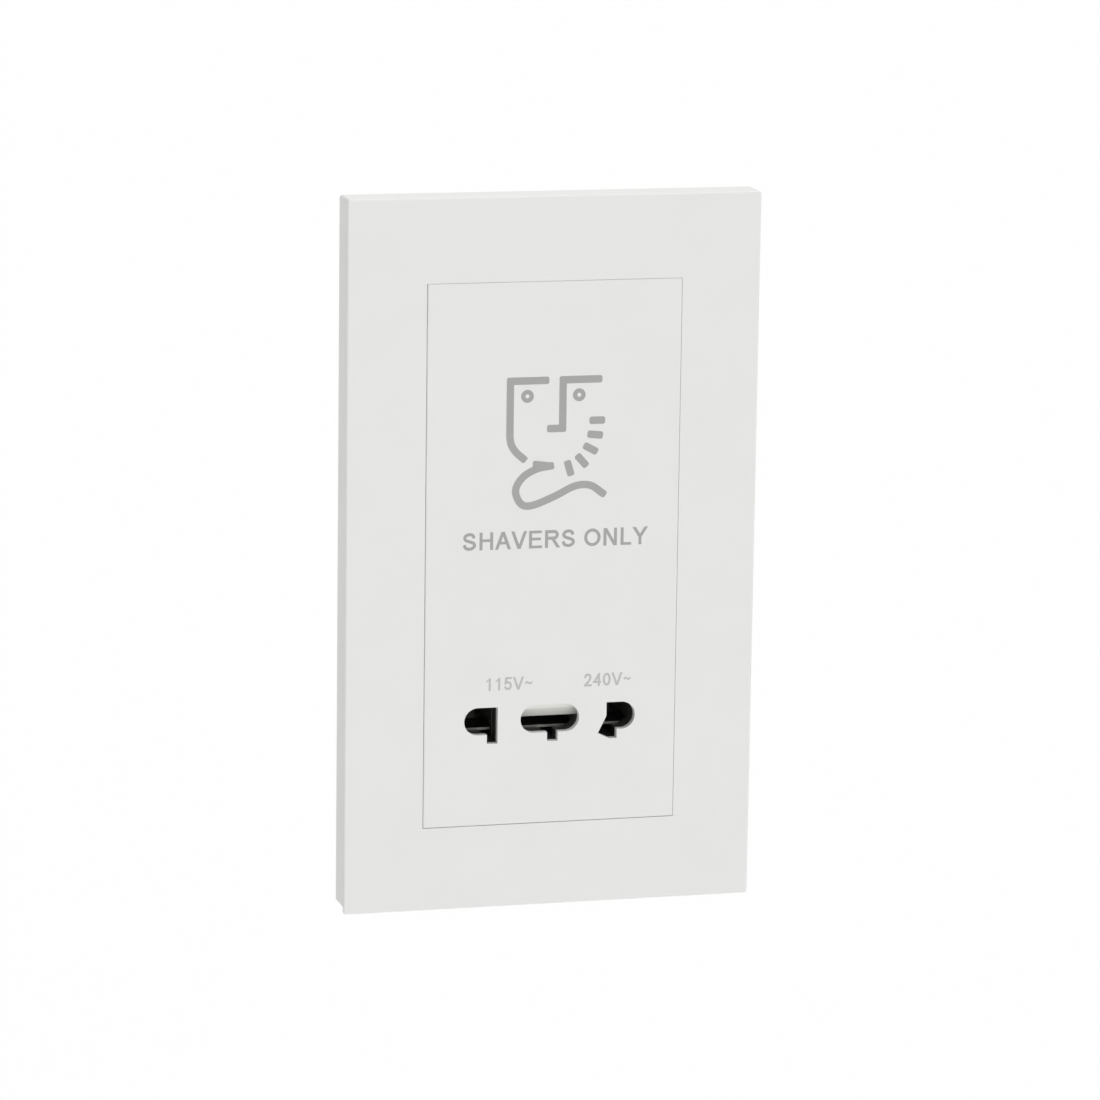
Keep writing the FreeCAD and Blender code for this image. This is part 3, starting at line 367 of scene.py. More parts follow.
class NodeShape:
    """A geometry node tree with named inputs, which ends up as a plain mesh."""

    SOCKETS = {int: "NodeSocketInt", float: "NodeSocketFloat", Vector: "NodeSocketVector"}

    def __init__(self, name: str, sizes: dict[str, Size], start: bpy.types.Mesh | None = None) -> None:
        """Starts the tree.

        Args:
            name: The piece that it makes.
            sizes: The tree's inputs by name: counts, lengths, and steps from one place to the next.
            start: The mesh that it works on, if any.
        """
        self.name = name
        self.sizes = sizes
        self.start = start or bpy.data.meshes.new(name)
        self.tree = bpy.data.node_groups.new(name, "GeometryNodeTree")
        for way in ("INPUT", "OUTPUT"):
            self.tree.interface.new_socket("Geometry", in_out=way, socket_type="NodeSocketGeometry")
        for label, size in sizes.items():
            self.tree.interface.new_socket(label, in_out="INPUT", socket_type=self.SOCKETS[type(size)])
        self.size = add_node(self.tree, "NodeGroupInput").outputs

    def add(self, kind: str, inputs: NodeInputs | None = None, **settings: Any) -> Socket:
        """Adds a node and gives its first output."""
        return add_node(self.tree, f"GeometryNode{kind}", inputs, **settings).outputs[0]

    def thicken(self, outline: Socket, depth: Socket) -> Socket:
        """Makes a closed plate.

        Args:
            outline: Its level outline, with any holes.
            depth: Its thickness.

        Returns:
            The plate, from the outline's plane to that depth along +Z.
        """
        flat = self.add("FillCurve", {"Curve": outline})
        raised = self.add("ExtrudeMesh", {"Mesh": flat, "Offset Scale": depth, "Individual": False})
        both = self.add("JoinGeometry", {"Geometry": [raised, self.add("FlipFaces", {"Mesh": flat})]})
        return self.add("MergeByDistance", {"Geometry": both, "Distance": WELD})

    def rounded(self, width: Socket, height: Socket, corner: Socket) -> Socket:
        """Draws an oblong with round corners.

        Args:
            width: Its length along X.
            height: Its length along Y.
            corner: Radius of its corners.

        Returns:
            The closed curve.
        """
        oblong = self.add("CurvePrimitiveQuadrilateral", {"Width": width, "Height": height})
        return self.add("FilletCurve", {"Curve": oblong, "Count": CORNER_STEPS, "Radius": corner},
                        mode="POLY")

    def wire(self, path: Socket, radius: Socket, sides: int, capped: bool = False) -> Socket:
        """Runs a wire along a path.

        Args:
            path: Its centre line.
            radius: The wire's radius.
            sides: How many sides stand for its round section.
            capped: Whether the path is open, so that the wire's ends are closed.

        Returns:
            The wire's mesh.
        """
        section = self.add("CurvePrimitiveCircle", {"Resolution": sides, "Radius": radius})
        return self.add("CurveToMesh", {"Curve": path, "Profile Curve": section, "Fill Caps": capped})

    def row(self, item: Socket, count: Socket, step: Socket) -> Socket:
        """Repeats a shape at equal steps.

        Args:
            item: The shape.
            count: How many there are.
            step: The way from one to the next.

        Returns:
            The row.
        """
        places = self.add("MeshLine", {"Count": count, "Offset": step})
        return self.add("InstanceOnPoints", {"Points": places, "Instance": item})

    def bake(self, geometry: Socket, finish: Finish, place: Matrix, soft: bool = False) -> bpy.types.Object:
        """Closes the tree, runs it once and keeps the mesh.

        Args:
            geometry: What the tree makes.
            finish: Its material.
            place: How the result is turned, scaled and moved from the tree's own axes.
            soft: Whether its faces are shaded as one smooth skin.

        Returns:
            The new piece.
        """
        real = self.add("RealizeInstances", {"Geometry": geometry})
        shaded = self.add("SetShadeSmooth", {"Geometry": real, "Shade Smooth": soft})
        dressed = self.add("SetMaterial", {"Geometry": shaded, "Material": finish.material()})
        add_node(self.tree, "NodeGroupOutput", {"Geometry": dressed})
        maker = bpy.data.objects.new(f"{self.name}_maker", self.start)
        bpy.context.scene.collection.objects.link(maker)
        modifier = maker.modifiers.new("Shape", "NODES")
        modifier.node_group = self.tree
        for item in self.tree.interface.items_tree:
            if item.name in self.sizes:
                modifier[item.identifier] = self.sizes[item.name]
        made = maker.evaluated_get(bpy.context.evaluated_depsgraph_get())
        mesh = bpy.data.meshes.new_from_object(made)
        bpy.data.objects.remove(maker)
        mesh.transform(place)
        return new_piece(self.name, mesh, finish)


def placed(move: Vector, turn: Euler) -> Matrix:
    """Turns a shape from the tree's own axes, then moves it."""
    return Matrix.Translation(move) @ turn.to_matrix().to_4x4()


FRONT_TURN = Euler((math.pi / 2, 0, 0))
BACK_TURN = Euler((-math.pi / 2, 0, 0))
SIDE_TURN = Euler((math.pi / 2, 0, math.pi / 2))


def smooth_path(points: Outline, steps: int = 10) -> Outline:
    """Draws a smooth line through points.

    Args:
        points: The points, in order.
        steps: Spans between one point and the next.

    Returns:
        Points along the line.
    """
    ends = [Vector(points[0]) * 2 - Vector(points[1]), Vector(points[-1]) * 2 - Vector(points[-2])]
    knots = [ends[0], *[Vector(p) for p in points], ends[1]]
    line = []
    for a, b, c, d in zip(knots, knots[1:], knots[2:], knots[3:]):
        for step in range(steps):
            t = step / steps
            bow = (a * 2 - b * 5 + c * 4 - d) * t ** 2 + (b * 3 - a - c * 3 + d) * t ** 3
            line.append(tuple((b * 2 + (c - a) * t + bow) / 2))
    return [*line, tuple(points[-1])]


def arc(centre: Point, radius: float, start: float, end: float, steps: int) -> Outline:
    """Gives points along an arc.

    Args:
        centre: The arc's centre.
        radius: Its radius.
        start: First angle in degrees, anticlockwise from +X.
        end: Last angle.
        steps: Number of spans.

    Returns:
        The points, both ends included.
    """
    angles = [math.radians(start + (end - start) * step / max(steps, 1)) for step in range(steps + 1)]
    return [(centre[0] + radius * math.cos(a), centre[1] + radius * math.sin(a)) for a in angles]


def stroke(path: Outline, width: float, reach: float = 0.0, corner: float = 0.0) -> Outline:
    """Outlines a pen stroke.

    Args:
        path: The stroke's centre line.
        width: Its width.
        reach: How far its ends go past the line.
        corner: Radius of the corners at its ends and on the outside of a sharp bend.

    Returns:
        The closed outline, anticlockwise.
    """
    half = width / 2
    headings = [math.degrees(math.atan2(b[1] - a[1], b[0] - a[0])) for a, b in zip(path, path[1:])]
    steps = CORNER_STEPS if corner else 0

    def beside(place: Point, distance: float, course: float) -> Point:
        """Steps aside from a place."""
        return arc(place, distance, course, course, 0)[0]

    def side(line: Outline, courses: list[float]) -> Outline:
        """Follows the right-hand side of a line.

        Args:
            line: The line's points.
            courses: The heading of each span.

        Returns:
            The points of that side, apart from its ends.
        """
        edge = []
        for place, before, after in zip(line[1:-1], courses, courses[1:]):
            bend = (after - before + 180) % 360 - 180
            lean = math.cos(math.radians(bend / 2))
            if bend > SHARP_BEND:
                middle = beside(place, (half - corner) / lean, before - 90 + bend / 2)
                edge += arc(middle, corner, before - 90, before - 90 + bend, steps)
            else:
                edge.append(beside(place, half / lean, before - 90 + bend / 2))
        return edge

    def cap(end: Point, course: float) -> Outline:
        """Closes an end.

        Args:
            end: The line's last point.
            course: The heading there.

        Returns:
            Points from the right-hand side round to the left.
        """
        middle = beside(end, reach - corner, course)
        right = arc(beside(middle, half - corner, course - 90), corner, course - 90, course, steps)
        left = arc(beside(middle, half - corner, course + 90), corner, course, course + 90, steps)
        return right + left

    there = side(path, headings)
    back = side(path[::-1], [course + 180 for course in headings[::-1]])
    return there + cap(path[-1], headings[-1]) + back + cap(path[0], headings[0] + 180)


@dataclass
class Lettering:
    """Plain block letters and figures, one cap height tall, drawn from bars, slants and bent strokes.

    Attributes:
        weight: Width of an upright, in cap heights.
        level_share: Width of a level stroke, as a share of an upright's.
        wave_share: Width of a wave's stroke, as a share of an upright's.
        ring_lap: How far the halves of a ring overlap at each end, in degrees.
        ring_steps: Spans in half a ring.
        bowl_steps: Spans in a half-round bowl.
        bend_steps: Spans from one point of a bent stroke to the next.
    """

    weight: float
    level_share: float = 0.88
    wave_share: float = 0.75
    ring_lap: float = 5.0
    ring_steps: int = 24
    bowl_steps: int = 12
    bend_steps: int = 6

    def level(self) -> float:
        """Gives the width of a level stroke."""
        return self.level_share * self.weight

    def bar(self, left: float, right: float, low: float, high: float) -> Outline:
        """Draws an upright or level bar."""
        return [(left, low), (right, low), (right, high), (left, high)]

    def post(self, left: float, low: float = 0.0, high: float = 1.0) -> Outline:
        """Draws an upright."""
        return self.bar(left, left + self.weight, low, high)

    def beam(self, left: float, right: float, low: float) -> Outline:
        """Draws a level stroke."""
        return self.bar(left, right, low, low + self.level())

    def across(self, run: float, rise: float = 1.0) -> float:
        """Gives the level width of a slant that runs so far while it rises."""
        return self.weight * math.hypot(1, run / rise)

    def slant(self, foot: float, head: float, low: float = 0.0, high: float = 1.0) -> Outline:
        """Draws a sloping stroke with level ends.

        Args:
            foot: Its left edge at its lower end.
            head: Its left edge at its upper end.
            low: Height of its lower end.
            high: Height of its upper end.

        Returns:
            Its outline.
        """
        wide = self.across(head - foot, high - low)
        return [(foot, low), (foot + wide, low), (head + wide, high), (head, high)]

    def bent(self, left: float, right: float, knots: Outline) -> Outline:
        """Draws a curved stroke with cut ends.

        Args:
            left: The letter's left edge.
            right: Its right edge.
            knots: Points of the centre line, as shares of the letter's width and height.

        Returns:
            Its outline.
        """
        half = self.weight / 2
        wide, tall = right - left - self.weight, 1 - self.weight
        inside = [(left + half + u * wide, half + v * tall) for u, v in knots]
        return stroke(smooth_path(inside, self.bend_steps), self.weight)

    def ring(self, left: float, right: float) -> list[Outline]:
        """Draws a round letter as two halves that overlap a little.

        Args:
            left: The letter's left edge.
            right: Its right edge.

        Returns:
            The outlines of the halves.
        """
        half = self.weight / 2
        middle = (left + right) / 2
        stretch = (right - left - self.weight) / (1 - self.weight)
        halves = []
        for start in (-90 - self.ring_lap, 90 - self.ring_lap):
            end = start + 180 + 2 * self.ring_lap
            course = arc((0, 0.5), 0.5 - half, start, end, self.ring_steps)
            halves.append(stroke([(middle + x * stretch, z) for x, z in course], self.weight))
        return halves

    def letter_r(self) -> list[Outline]:
        """Draws R: an upright, a bowl and a leg.

        Returns:
            Its strokes.
        """
        half = self.weight / 2
        head, waist = 1 - half, 0.455 + half
        radius = (head - waist) / 2
        turn = arc((0.905 - half - radius, waist + radius), radius, 90, -90, self.bowl_steps)
        bowl = stroke([(0.15, head), *turn, (0.15, waist)], self.weight)
        return [self.post(0.11), bowl, self.slant(0.993 - self.across(0.33, 0.5), 0.46, 0.0, 0.5)]

    def letter_y(self) -> list[Outline]:
        """Draws Y as one outline: two arms on a post.

        Returns:
            That outline alone.
        """
        middle, fork, tip = 0.463, 0.424, 0.459
        half = self.weight / 2
        slope = (tip - half) / (1 - fork)
        wide = self.across(slope)
        crotch = 1 - (tip - wide) / slope
        right = [(half, 0), (half, fork), (tip, 1), (tip - wide, 1), (0, crotch)]
        left = [(-x, z) for x, z in right[-2::-1]]
        return [[(middle + x, z) for x, z in right + left]]

    def glyphs(self) -> dict[str, tuple[float, list[Outline]]]:
        """Gives each letter's advance and outlines.

        Returns:
            By letter, how far the next one starts to the right, and the strokes.
        """
        w = self.weight
        top = 1 - self.level()
        leg = self.across(0.38)
        curl = [(0.93, 0.74), (0.8, 0.93), (0.5, 1), (0.19, 0.93), (0.06, 0.76), (0.18, 0.6), (0.5, 0.51),
                (0.84, 0.41), (0.97, 0.25), (0.81, 0.07), (0.49, 0), (0.15, 0.08), (0, 0.29)]
        swan = [(0.02, 0.7), (0.13, 0.92), (0.47, 1), (0.83, 0.91), (0.92, 0.72), (0.8, 0.52), (0.45, 0.24),
                (0.08, 0.04)]
        bowl = [(0.06, 0.47), (0.25, 0.6), (0.5, 0.64), (0.84, 0.52), (0.97, 0.32), (0.84, 0.09), (0.46, 0),
                (0.12, 0.09), (0, 0.24)]
        wave = [(0, 0.42), (0.12, 0.53), (0.26, 0.56), (0.42, 0.5), (0.6, 0.43), (0.78, 0.46), (0.93, 0.57)]
        one = [(0.52 - w, 0), (0.52, 0), (0.52, 1), (0.45, 1), (0.152, 0.75), (0.152, 0.625),
               (0.52 - w, 0.78)]
        return {
            "H": (1.008, [self.post(0.109), self.post(0.898 - w), self.beam(0.109, 0.898, 0.46)]),
            "E": (0.932, [self.post(0.11), self.beam(0.11, 0.843, top), self.beam(0.11, 0.8, 0.45),
                          self.beam(0.11, 0.869, 0)]),
            "L": (0.777, [self.post(0.102), self.beam(0.102, 0.728, 0)]),
            "N": (1.008, [self.post(0.106), self.post(0.892 - w),
                          self.slant(0.892 - self.across(0.6), 0.106)]),
            "O": (1.087, self.ring(0.066, 1.02)),
            "R": (1.008, self.letter_r()),
            "S": (0.932, [self.bent(0.063, 0.862, curl)]),
            "A": (0.932, [self.slant(0, 0.466 - leg / 2), self.slant(0.932 - leg, 0.466 - leg / 2),
                          self.beam(0.2, 0.732, 0.29)]),
            "V": (0.932, [self.slant(0.464 - leg / 2, 0.004), self.slant(0.464 - leg / 2, 0.923 - leg)]),
            "Y": (0.932, self.letter_y()),
            "1": (0.777, [one]),
            "2": (0.777, [self.bent(0.042, 0.704, swan), self.beam(0.042, 0.704, 0)]),
            "4": (0.777, [self.post(0.6 - w), self.beam(0.018, 0.709, 0.24),
                          self.slant(0.018, 0.452, 0.28, 1)]),
            "5": (0.777, [self.beam(0.17, 0.68, top), self.slant(0.08, 0.165, 0.44, 1),
                          self.bent(0.059, 0.719, bowl)]),
            "0": (0.777, self.ring(0.059, 0.712)),
            "~": (0.816, [Lettering(self.wave_share * w).bent(0.06, 0.757, wave)]),
            " ": (0.388, []),
        }

    def line(self, words: str) -> list[Outline]:
        """Sets a line of words.

        Args:
            words: What it says.

        Returns:
            All its strokes, from the first letter's origin.
        """
        drawn = self.glyphs()
        outlines = []
        place = 0.0
        for letter in words:
            advance, strokes = drawn[letter]
            outlines += [[(place + x, z) for x, z in outline] for outline in strokes]
            place += advance
        return outlines


@dataclass(frozen=True)
class Legend:
    """One line of plain lettering.

    Attributes:
        name: The piece's name.
        words: What it says.
        low: Its lower left corner, in millimetres on the cover's front.
        high: Its upper right corner.
        finish: Its ink.
    """

    name: str
    words: str
    low: Point
    high: Point
    finish: Finish


@dataclass
class CoverPrint:
    """The print on the cover: the shaver sign, the words below it and the two voltages.

    Places and sizes are millimetres on the cover's front, from the middle of the plate.

    Attributes:
        film_mm: Thickness of the ink.
        sink_mm: How far the ink lies in the moulding's grain.
        line_mm: Width of the sign's lines.
        corner_mm: Radius of the corners of those lines.
        letter_weight: Width of an upright, in cap heights.
        eye_left: Middle of the left eye.
        eye_spacing: From one eye to the other.
        eye_outer: Outer radius of an eye's ring.
        eye_inner: Its inner radius.
        eye_steps: Sides that stand for the ring.
        dash_length: Length of one dash of the stubble.
        dashes: Middle of each dash, and its lean in degrees.
        legends: The lines of lettering.
    """

    film_mm: float = 0.02
    sink_mm: float = 0.01
    line_mm: float = 1.53
    corner_mm: float = 0.45
    letter_weight: float = 0.172
    eye_left: Point = (-5.6, 32.77)
    eye_spacing: float = 10.83
    eye_outer: float = 1.33
    eye_inner: float = 0.42
    eye_steps: int = 32
    dash_length: float = 3.3
    dashes: tuple[tuple[float, float, float], ...] = (
        (9.1, 27.43, 0), (8.7, 24.47, -6), (7.77, 21.63, -28), (5.97, 19.2, -48), (3.33, 17.73, -73))
    legends: tuple[Legend, ...] = (
        Legend("legend_use", "SHAVERS ONLY", (-18.75, 1.4), (20.17, 5.05), SIGN_INK),
        Legend("legend_low_voltage", "115V~", (-13.5, -27.9), (-3.76, -25.2), FIGURE_INK),
        Legend("legend_high_voltage", "240V~", (7.1, -27.9), (17.1, -25.2), FIGURE_INK))

    def planes(self) -> tuple[float, float]:
        """Gives the y of the film's rear and front planes."""
        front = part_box("front_cover")[0].y
        return front + self.sink_mm * MM, front - self.film_mm * MM

    def pen(self, path: Outline) -> Outline:
        """Draws one line of the sign."""
        return stroke(path, self.line_mm, self.line_mm / 2, self.corner_mm)

    def sign_lines(self) -> list[Outline]:
        """Draws the two brows, one of which runs on into the jaw and the other into the nose, and the chin.

        Returns:
            Outlines in millimetres, which overlap where they join.
        """
        jaw = [(-1.83, 35.93), (-9.17, 35.93), (-9.17, 24.6)]
        jaw += smooth_path([(-9.17, 24.6), (-8.85, 22.9), (-7.8, 21.3), (-6.33, 20.0)])[1:]
        nose = [(9.27, 35.93), (1.83, 35.93), (1.83, 26.0), (-0.67, 26.0)]
        chin = smooth_path([(-0.6, 18.3), (-3.4, 17.8), (-6.3, 16.2), (-7.85, 13.5), (-6.7, 10.7),
                            (-4.3, 10.3), (0.3, 12.0), (4.6, 14.0), (7.8, 14.05), (10.43, 12.33)])
        beak = [(-0.5, 18.0), (-0.2, 18.75), (-0.5, 19.05), (-3.85, 19.5), (-4.15, 19.4), (-4.3, 19.1),
                (-4.3, 17.5)]
        return [self.pen(jaw), self.pen(nose), self.pen(chin), beak]

    def make_film(self, name: str, outlines: list[Outline], unit: Point, origin: Point,
                  finish: Finish) -> None:
        """Prints overlapping outlines as one film of ink.

        Args:
            name: The piece's name.
            outlines: What is printed, in units of its own.
            unit: Metres in one unit, across and up.
            origin: Where the outlines' own origin goes, in millimetres.
            finish: The ink.
        """
        back, front = self.planes()
        shape = NodeShape(name, {}, film(outlines))
        united = shape.add("MeshBoolean", {"Mesh 2": shape.size["Geometry"], "Self Intersection": True},
                           operation="UNION", solver="EXACT")
        scale = Matrix.Diagonal((unit[0], back - front, unit[1], 1))
        place = Matrix.Translation((origin[0] * MM, back, origin[1] * MM)) @ scale
        shape.bake(united, finish, place)

    def make_eyes(self) -> None:
        """Makes the two ring eyes."""
        back, front = self.planes()
        shape = NodeShape("shaver_sign_eyes", {
            "Ring": (self.eye_outer + self.eye_inner) / 2 * MM,
            "Band": (self.eye_outer - self.eye_inner) * MM,
            "Film": back - front,
            "Eyes": 2,
            "Spacing": Vector((self.eye_spacing * MM, 0, 0)),
        })
        path = shape.add("CurvePrimitiveCircle", {"Resolution": self.eye_steps, "Radius": shape.size["Ring"]})
        band = shape.add("CurvePrimitiveQuadrilateral",
                         {"Width": shape.size["Band"], "Height": shape.size["Film"]})
        ring = shape.add("CurveToMesh", {"Curve": path, "Profile Curve": band})
        eyes = shape.row(ring, shape.size["Eyes"], shape.size["Spacing"])
        move = Vector((self.eye_left[0] * MM, (back + front) / 2, self.eye_left[1] * MM))
        shape.bake(eyes, SIGN_INK, placed(move, FRONT_TURN))

    def make_stubble(self) -> None:
        """Makes the unshaved half of the jaw: short dashes, each with its own lean."""
        back, front = self.planes()
        points = bpy.data.meshes.new("stubble_places")
        points.from_pydata([(x * MM, z * MM, 0) for x, z, lean in self.dashes], [], [])
        leans = points.attributes.new("lean", "FLOAT_VECTOR", "POINT")
        for mark, (x, z, lean) in zip(leans.data, self.dashes):
            mark.vector = (0, 0, math.radians(lean))
        shape = NodeShape("shaver_sign_stubble", {
            "Length": self.dash_length * MM,
            "Width": self.line_mm * MM,
            "Corner": self.corner_mm * MM,
            "Film": back - front,
        }, points)
        outline = shape.rounded(shape.size["Length"], shape.size["Width"], shape.size["Corner"])
        dash = shape.thicken(outline, shape.size["Film"])
        dashes = shape.add("InstanceOnPoints", {
            "Points": shape.size["Geometry"],
            "Instance": dash,
            "Rotation": shape.add("InputNamedAttribute", {"Name": "lean"}, data_type="FLOAT_VECTOR"),
        })
        shape.bake(dashes, SIGN_INK, placed(Vector((0, back, 0)), FRONT_TURN))

    def make_legend(self, legend: Legend) -> None:
        """Prints one line of lettering, stretched to its corners.

        Args:
            legend: What it says, and where.
        """
        outlines = Lettering(self.letter_weight).line(legend.words)
        across = [x for outline in outlines for x, z in outline]
        wide = (legend.high[0] - legend.low[0]) / (max(across) - min(across))
        tall = legend.high[1] - legend.low[1]
        origin = (legend.low[0] - min(across) * wide, legend.low[1])
        self.make_film(legend.name, outlines, (wide * MM, tall * MM), origin, legend.finish)

    def build(self) -> None:
        """Makes the whole print."""
        self.make_film("shaver_sign_lines", self.sign_lines(), (MM, MM), (0, 0), SIGN_INK)
        self.make_eyes()
        self.make_stubble()
        for legend in self.legends:
            self.make_legend(legend)


class Side(Enum):
    """A side of the cover: the number of its axis, and which way it faces."""

    LEFT = (0, -1)
    RIGHT = (0, 1)
    TOP = (2, 1)
    BOTTOM = (2, -1)


@dataclass
class WallPlate:
    """The clip-on frame, the flush cover and the yoke behind them.

    Attributes:
        lap_mm: How far the cover's tray reaches under the frame, all round.
        step_mm: How far the tray lies behind the cover's front.
        edge_mm: Width of the band at the cover's edge that gives.
        closing_mm: How far that band closes the joint on each side, or opens it.
    """

    lap_mm: float = 0.7
    step_mm: float = 0.6
    edge_mm: float = 0.3
    closing_mm: tuple[tuple[Side, float], ...] = (
        (Side.LEFT, -0.02), (Side.RIGHT, 0.09), (Side.TOP, 0.07), (Side.BOTTOM, 0.04))

    def dress(self) -> None:
        """Gives the mouldings their finish."""
        dress(WHITE_POLYCARBONATE, "surround_frame", "front_cover")
        dress(GREY_NYLON, "mounting_yoke")

    def make_cover(self) -> None:
        """Settles the cover in its window: it gapes on the left and fits closer on the other sides."""
        low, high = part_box("front_cover")
        inset = (self.lap_mm + self.edge_mm) * MM
        mesh = merged("front_cover")
        mesh.shade_flat()
        proud = [vert.co for vert in mesh.vertices if vert.co.y < low.y + self.step_mm * MM - NEAR]
        for side, closing in self.closing_mm:
            axis, way = side.value
            band = way * (high if way > 0 else low)[axis] - inset
            for place in proud:
                if way * place[axis] > band:
                    place[axis] += way * closing * MM
        cover = new_piece("settled_cover", mesh, WHITE_POLYCARBONATE)
        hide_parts("front_cover")

    def build(self) -> None:
        """Dresses the mouldings and settles the cover."""
        self.dress()
        self.make_cover()


@dataclass
class SocketWorks:
    """What lies behind the pin apertures: carrier, contacts, shutter and its spring.

    Attributes:
        wire_mm: Radius of the spring's wire.
        wire_sides: Sides that stand for its round section.
        turns: Turns of the spring.
        turn_steps: Spans in one turn.
        lift_mm: How far the shutter rises; not used.
    """

    wire_mm: float = 0.22
    wire_sides: int = 10
    turns: float = 6.5
    turn_steps: int = 28
    lift_mm: float = 3.1

    def dress(self) -> None:
        """Gives the solids their finish."""
        dress(BLACK_POLYESTER, "contact_carrier", "contact_retainer")
        dress(PLATED_BRASS, "contact_left", "contact_centre", "contact_right")
        dress(NATURAL_ACETAL, "shutter")
        dress(SPRING_WIRE, "shutter_spring")

    def make_spring(self) -> None:
        """Winds the return spring from round wire."""
        low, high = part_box("shutter_spring")
        wire = self.wire_mm * MM
        length = high.z - low.z
        shape = NodeShape("shutter_return_spring", {
            "Turns": self.turns,
            "Coil Radius": (high.x - low.x) / 2 - wire,
            "Wire Radius": wire,
            "Rise": length - 2 * wire,
        })
        path = shape.add("CurveSpiral", {
            "Resolution": self.turn_steps,
            "Rotations": shape.size["Turns"],
            "Start Radius": shape.size["Coil Radius"],
            "End Radius": shape.size["Coil Radius"],
            "Height": shape.size["Rise"],
        })
        coil = shape.wire(path, shape.size["Wire Radius"], self.wire_sides, capped=True)
        middle = (low + high) / 2
        place = Matrix.Translation((middle.x, middle.y, low.z + wire))
        spring = shape.bake(coil, SPRING_WIRE, place, soft=True)
        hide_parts("shutter_spring")
        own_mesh(spring)

    def build(self) -> None:
        """Dresses the solids and makes the spring."""
        self.dress()
        self.make_spring()


@dataclass
class Transformer:
    """The isolating transformer: stacked laminations, two windings and their former.

    Attributes:
        sheet_mm: Thickness of one sheet of the core, with its seam.
        seam_mm: Width of the seam between sheets.
        window_mm: Length and height of the windows in a sheet.
        limb_mm: Height of the limb between the windows.
        wire_mm: Thickness of the wire.
        wire_sides: Sides that stand for its round section.
        corner_mm: Radius of the wire's bends.
    """

    sheet_mm: float = 0.5
    seam_mm: float = 0.06
    window_mm: tuple[float, float] = (24.0, 8.0)
    limb_mm: float = 16.0
    wire_mm: float = 0.5
    wire_sides: int = 8
    corner_mm: float = 2.5

    def dress(self) -> None:
        """Gives the solids their finish."""
        dress(LAMINATION_STEEL, "transformer_core")
        dress(ZINC_PLATE, "core_clamp")
        dress(IVORY_NYLON, "coil_bobbin")
        dress(ENAMELLED_COPPER, "primary_winding", "secondary_winding")
        dress(TINNED_STEEL, "bobbin_pins")

    def make_laminations(self) -> None:
        """Stacks the core from thin sheets with two windows each."""
        low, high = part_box("transformer_core")
        sheets = round((high.y - low.y) / (self.sheet_mm * MM))
        pitch = (high.y - low.y) / sheets
        window_long, window_tall = self.window_mm
        rise = Vector((0, (self.limb_mm + window_tall) / 2 * MM, 0))
        shape = NodeShape("core_laminations", {
            "Sheets": sheets,
            "Pitch": Vector((0, 0, pitch)),
            "Sheet": pitch - self.seam_mm * MM,
            "Width": high.x - low.x,
            "Height": high.z - low.z,
            "Window Length": window_long * MM,
            "Window Height": window_tall * MM,
            "Upper Window": rise,
            "Lower Window": -rise,
        })
        outer = shape.add("CurvePrimitiveQuadrilateral",
                          {"Width": shape.size["Width"], "Height": shape.size["Height"]})
        hole = shape.add("CurvePrimitiveQuadrilateral",
                         {"Width": shape.size["Window Length"], "Height": shape.size["Window Height"]})
        holes = [shape.add("Transform", {"Geometry": hole, "Translation": shape.size[window]})
                 for window in ("Upper Window", "Lower Window")]
        outline = shape.add("JoinGeometry", {"Geometry": [outer, *holes]})
        sheet = shape.thicken(outline, shape.size["Sheet"])
        stack = shape.row(sheet, shape.size["Sheets"], shape.size["Pitch"])
        middle = (low + high) / 2
        place = placed(Vector((middle.x, high.y, middle.z)), FRONT_TURN)
        core = shape.bake(stack, LAMINATION_STEEL, place)
        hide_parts("transformer_core")

    def make_turns(self, node: str) -> None:
        """Lays a visible layer of wire round a winding.

        Args:
            node: The winding's solid.
        """
        low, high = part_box(node)
        wire = self.wire_mm * MM
        count = int((high.x - low.x) / wire)
        pitch = (high.x - low.x) / count
        shape = NodeShape(f"{node}_turns", {
            "Turns": count,
            "Pitch": Vector((0, 0, pitch)),
            "Wire Radius": wire / 2,
            "Depth": high.y - low.y - wire / 2,
            "Height": high.z - low.z - wire / 2,
            "Corner": self.corner_mm * MM,
        })
        loop = shape.rounded(shape.size["Depth"], shape.size["Height"], shape.size["Corner"])
        turn = shape.wire(loop, shape.size["Wire Radius"], self.wire_sides)
        layer = shape.row(turn, shape.size["Turns"], shape.size["Pitch"])
        middle = (low + high) / 2
        place = placed(Vector((low.x + pitch / 2, middle.y, middle.z)), SIDE_TURN)
        shape.bake(layer, ENAMELLED_COPPER, place, soft=True)

    def build(self) -> None:
        """Dresses the solids, then makes the sheets and the wire."""
        self.dress()
        self.make_laminations()
        self.make_turns("primary_winding")
        self.make_turns("secondary_winding")


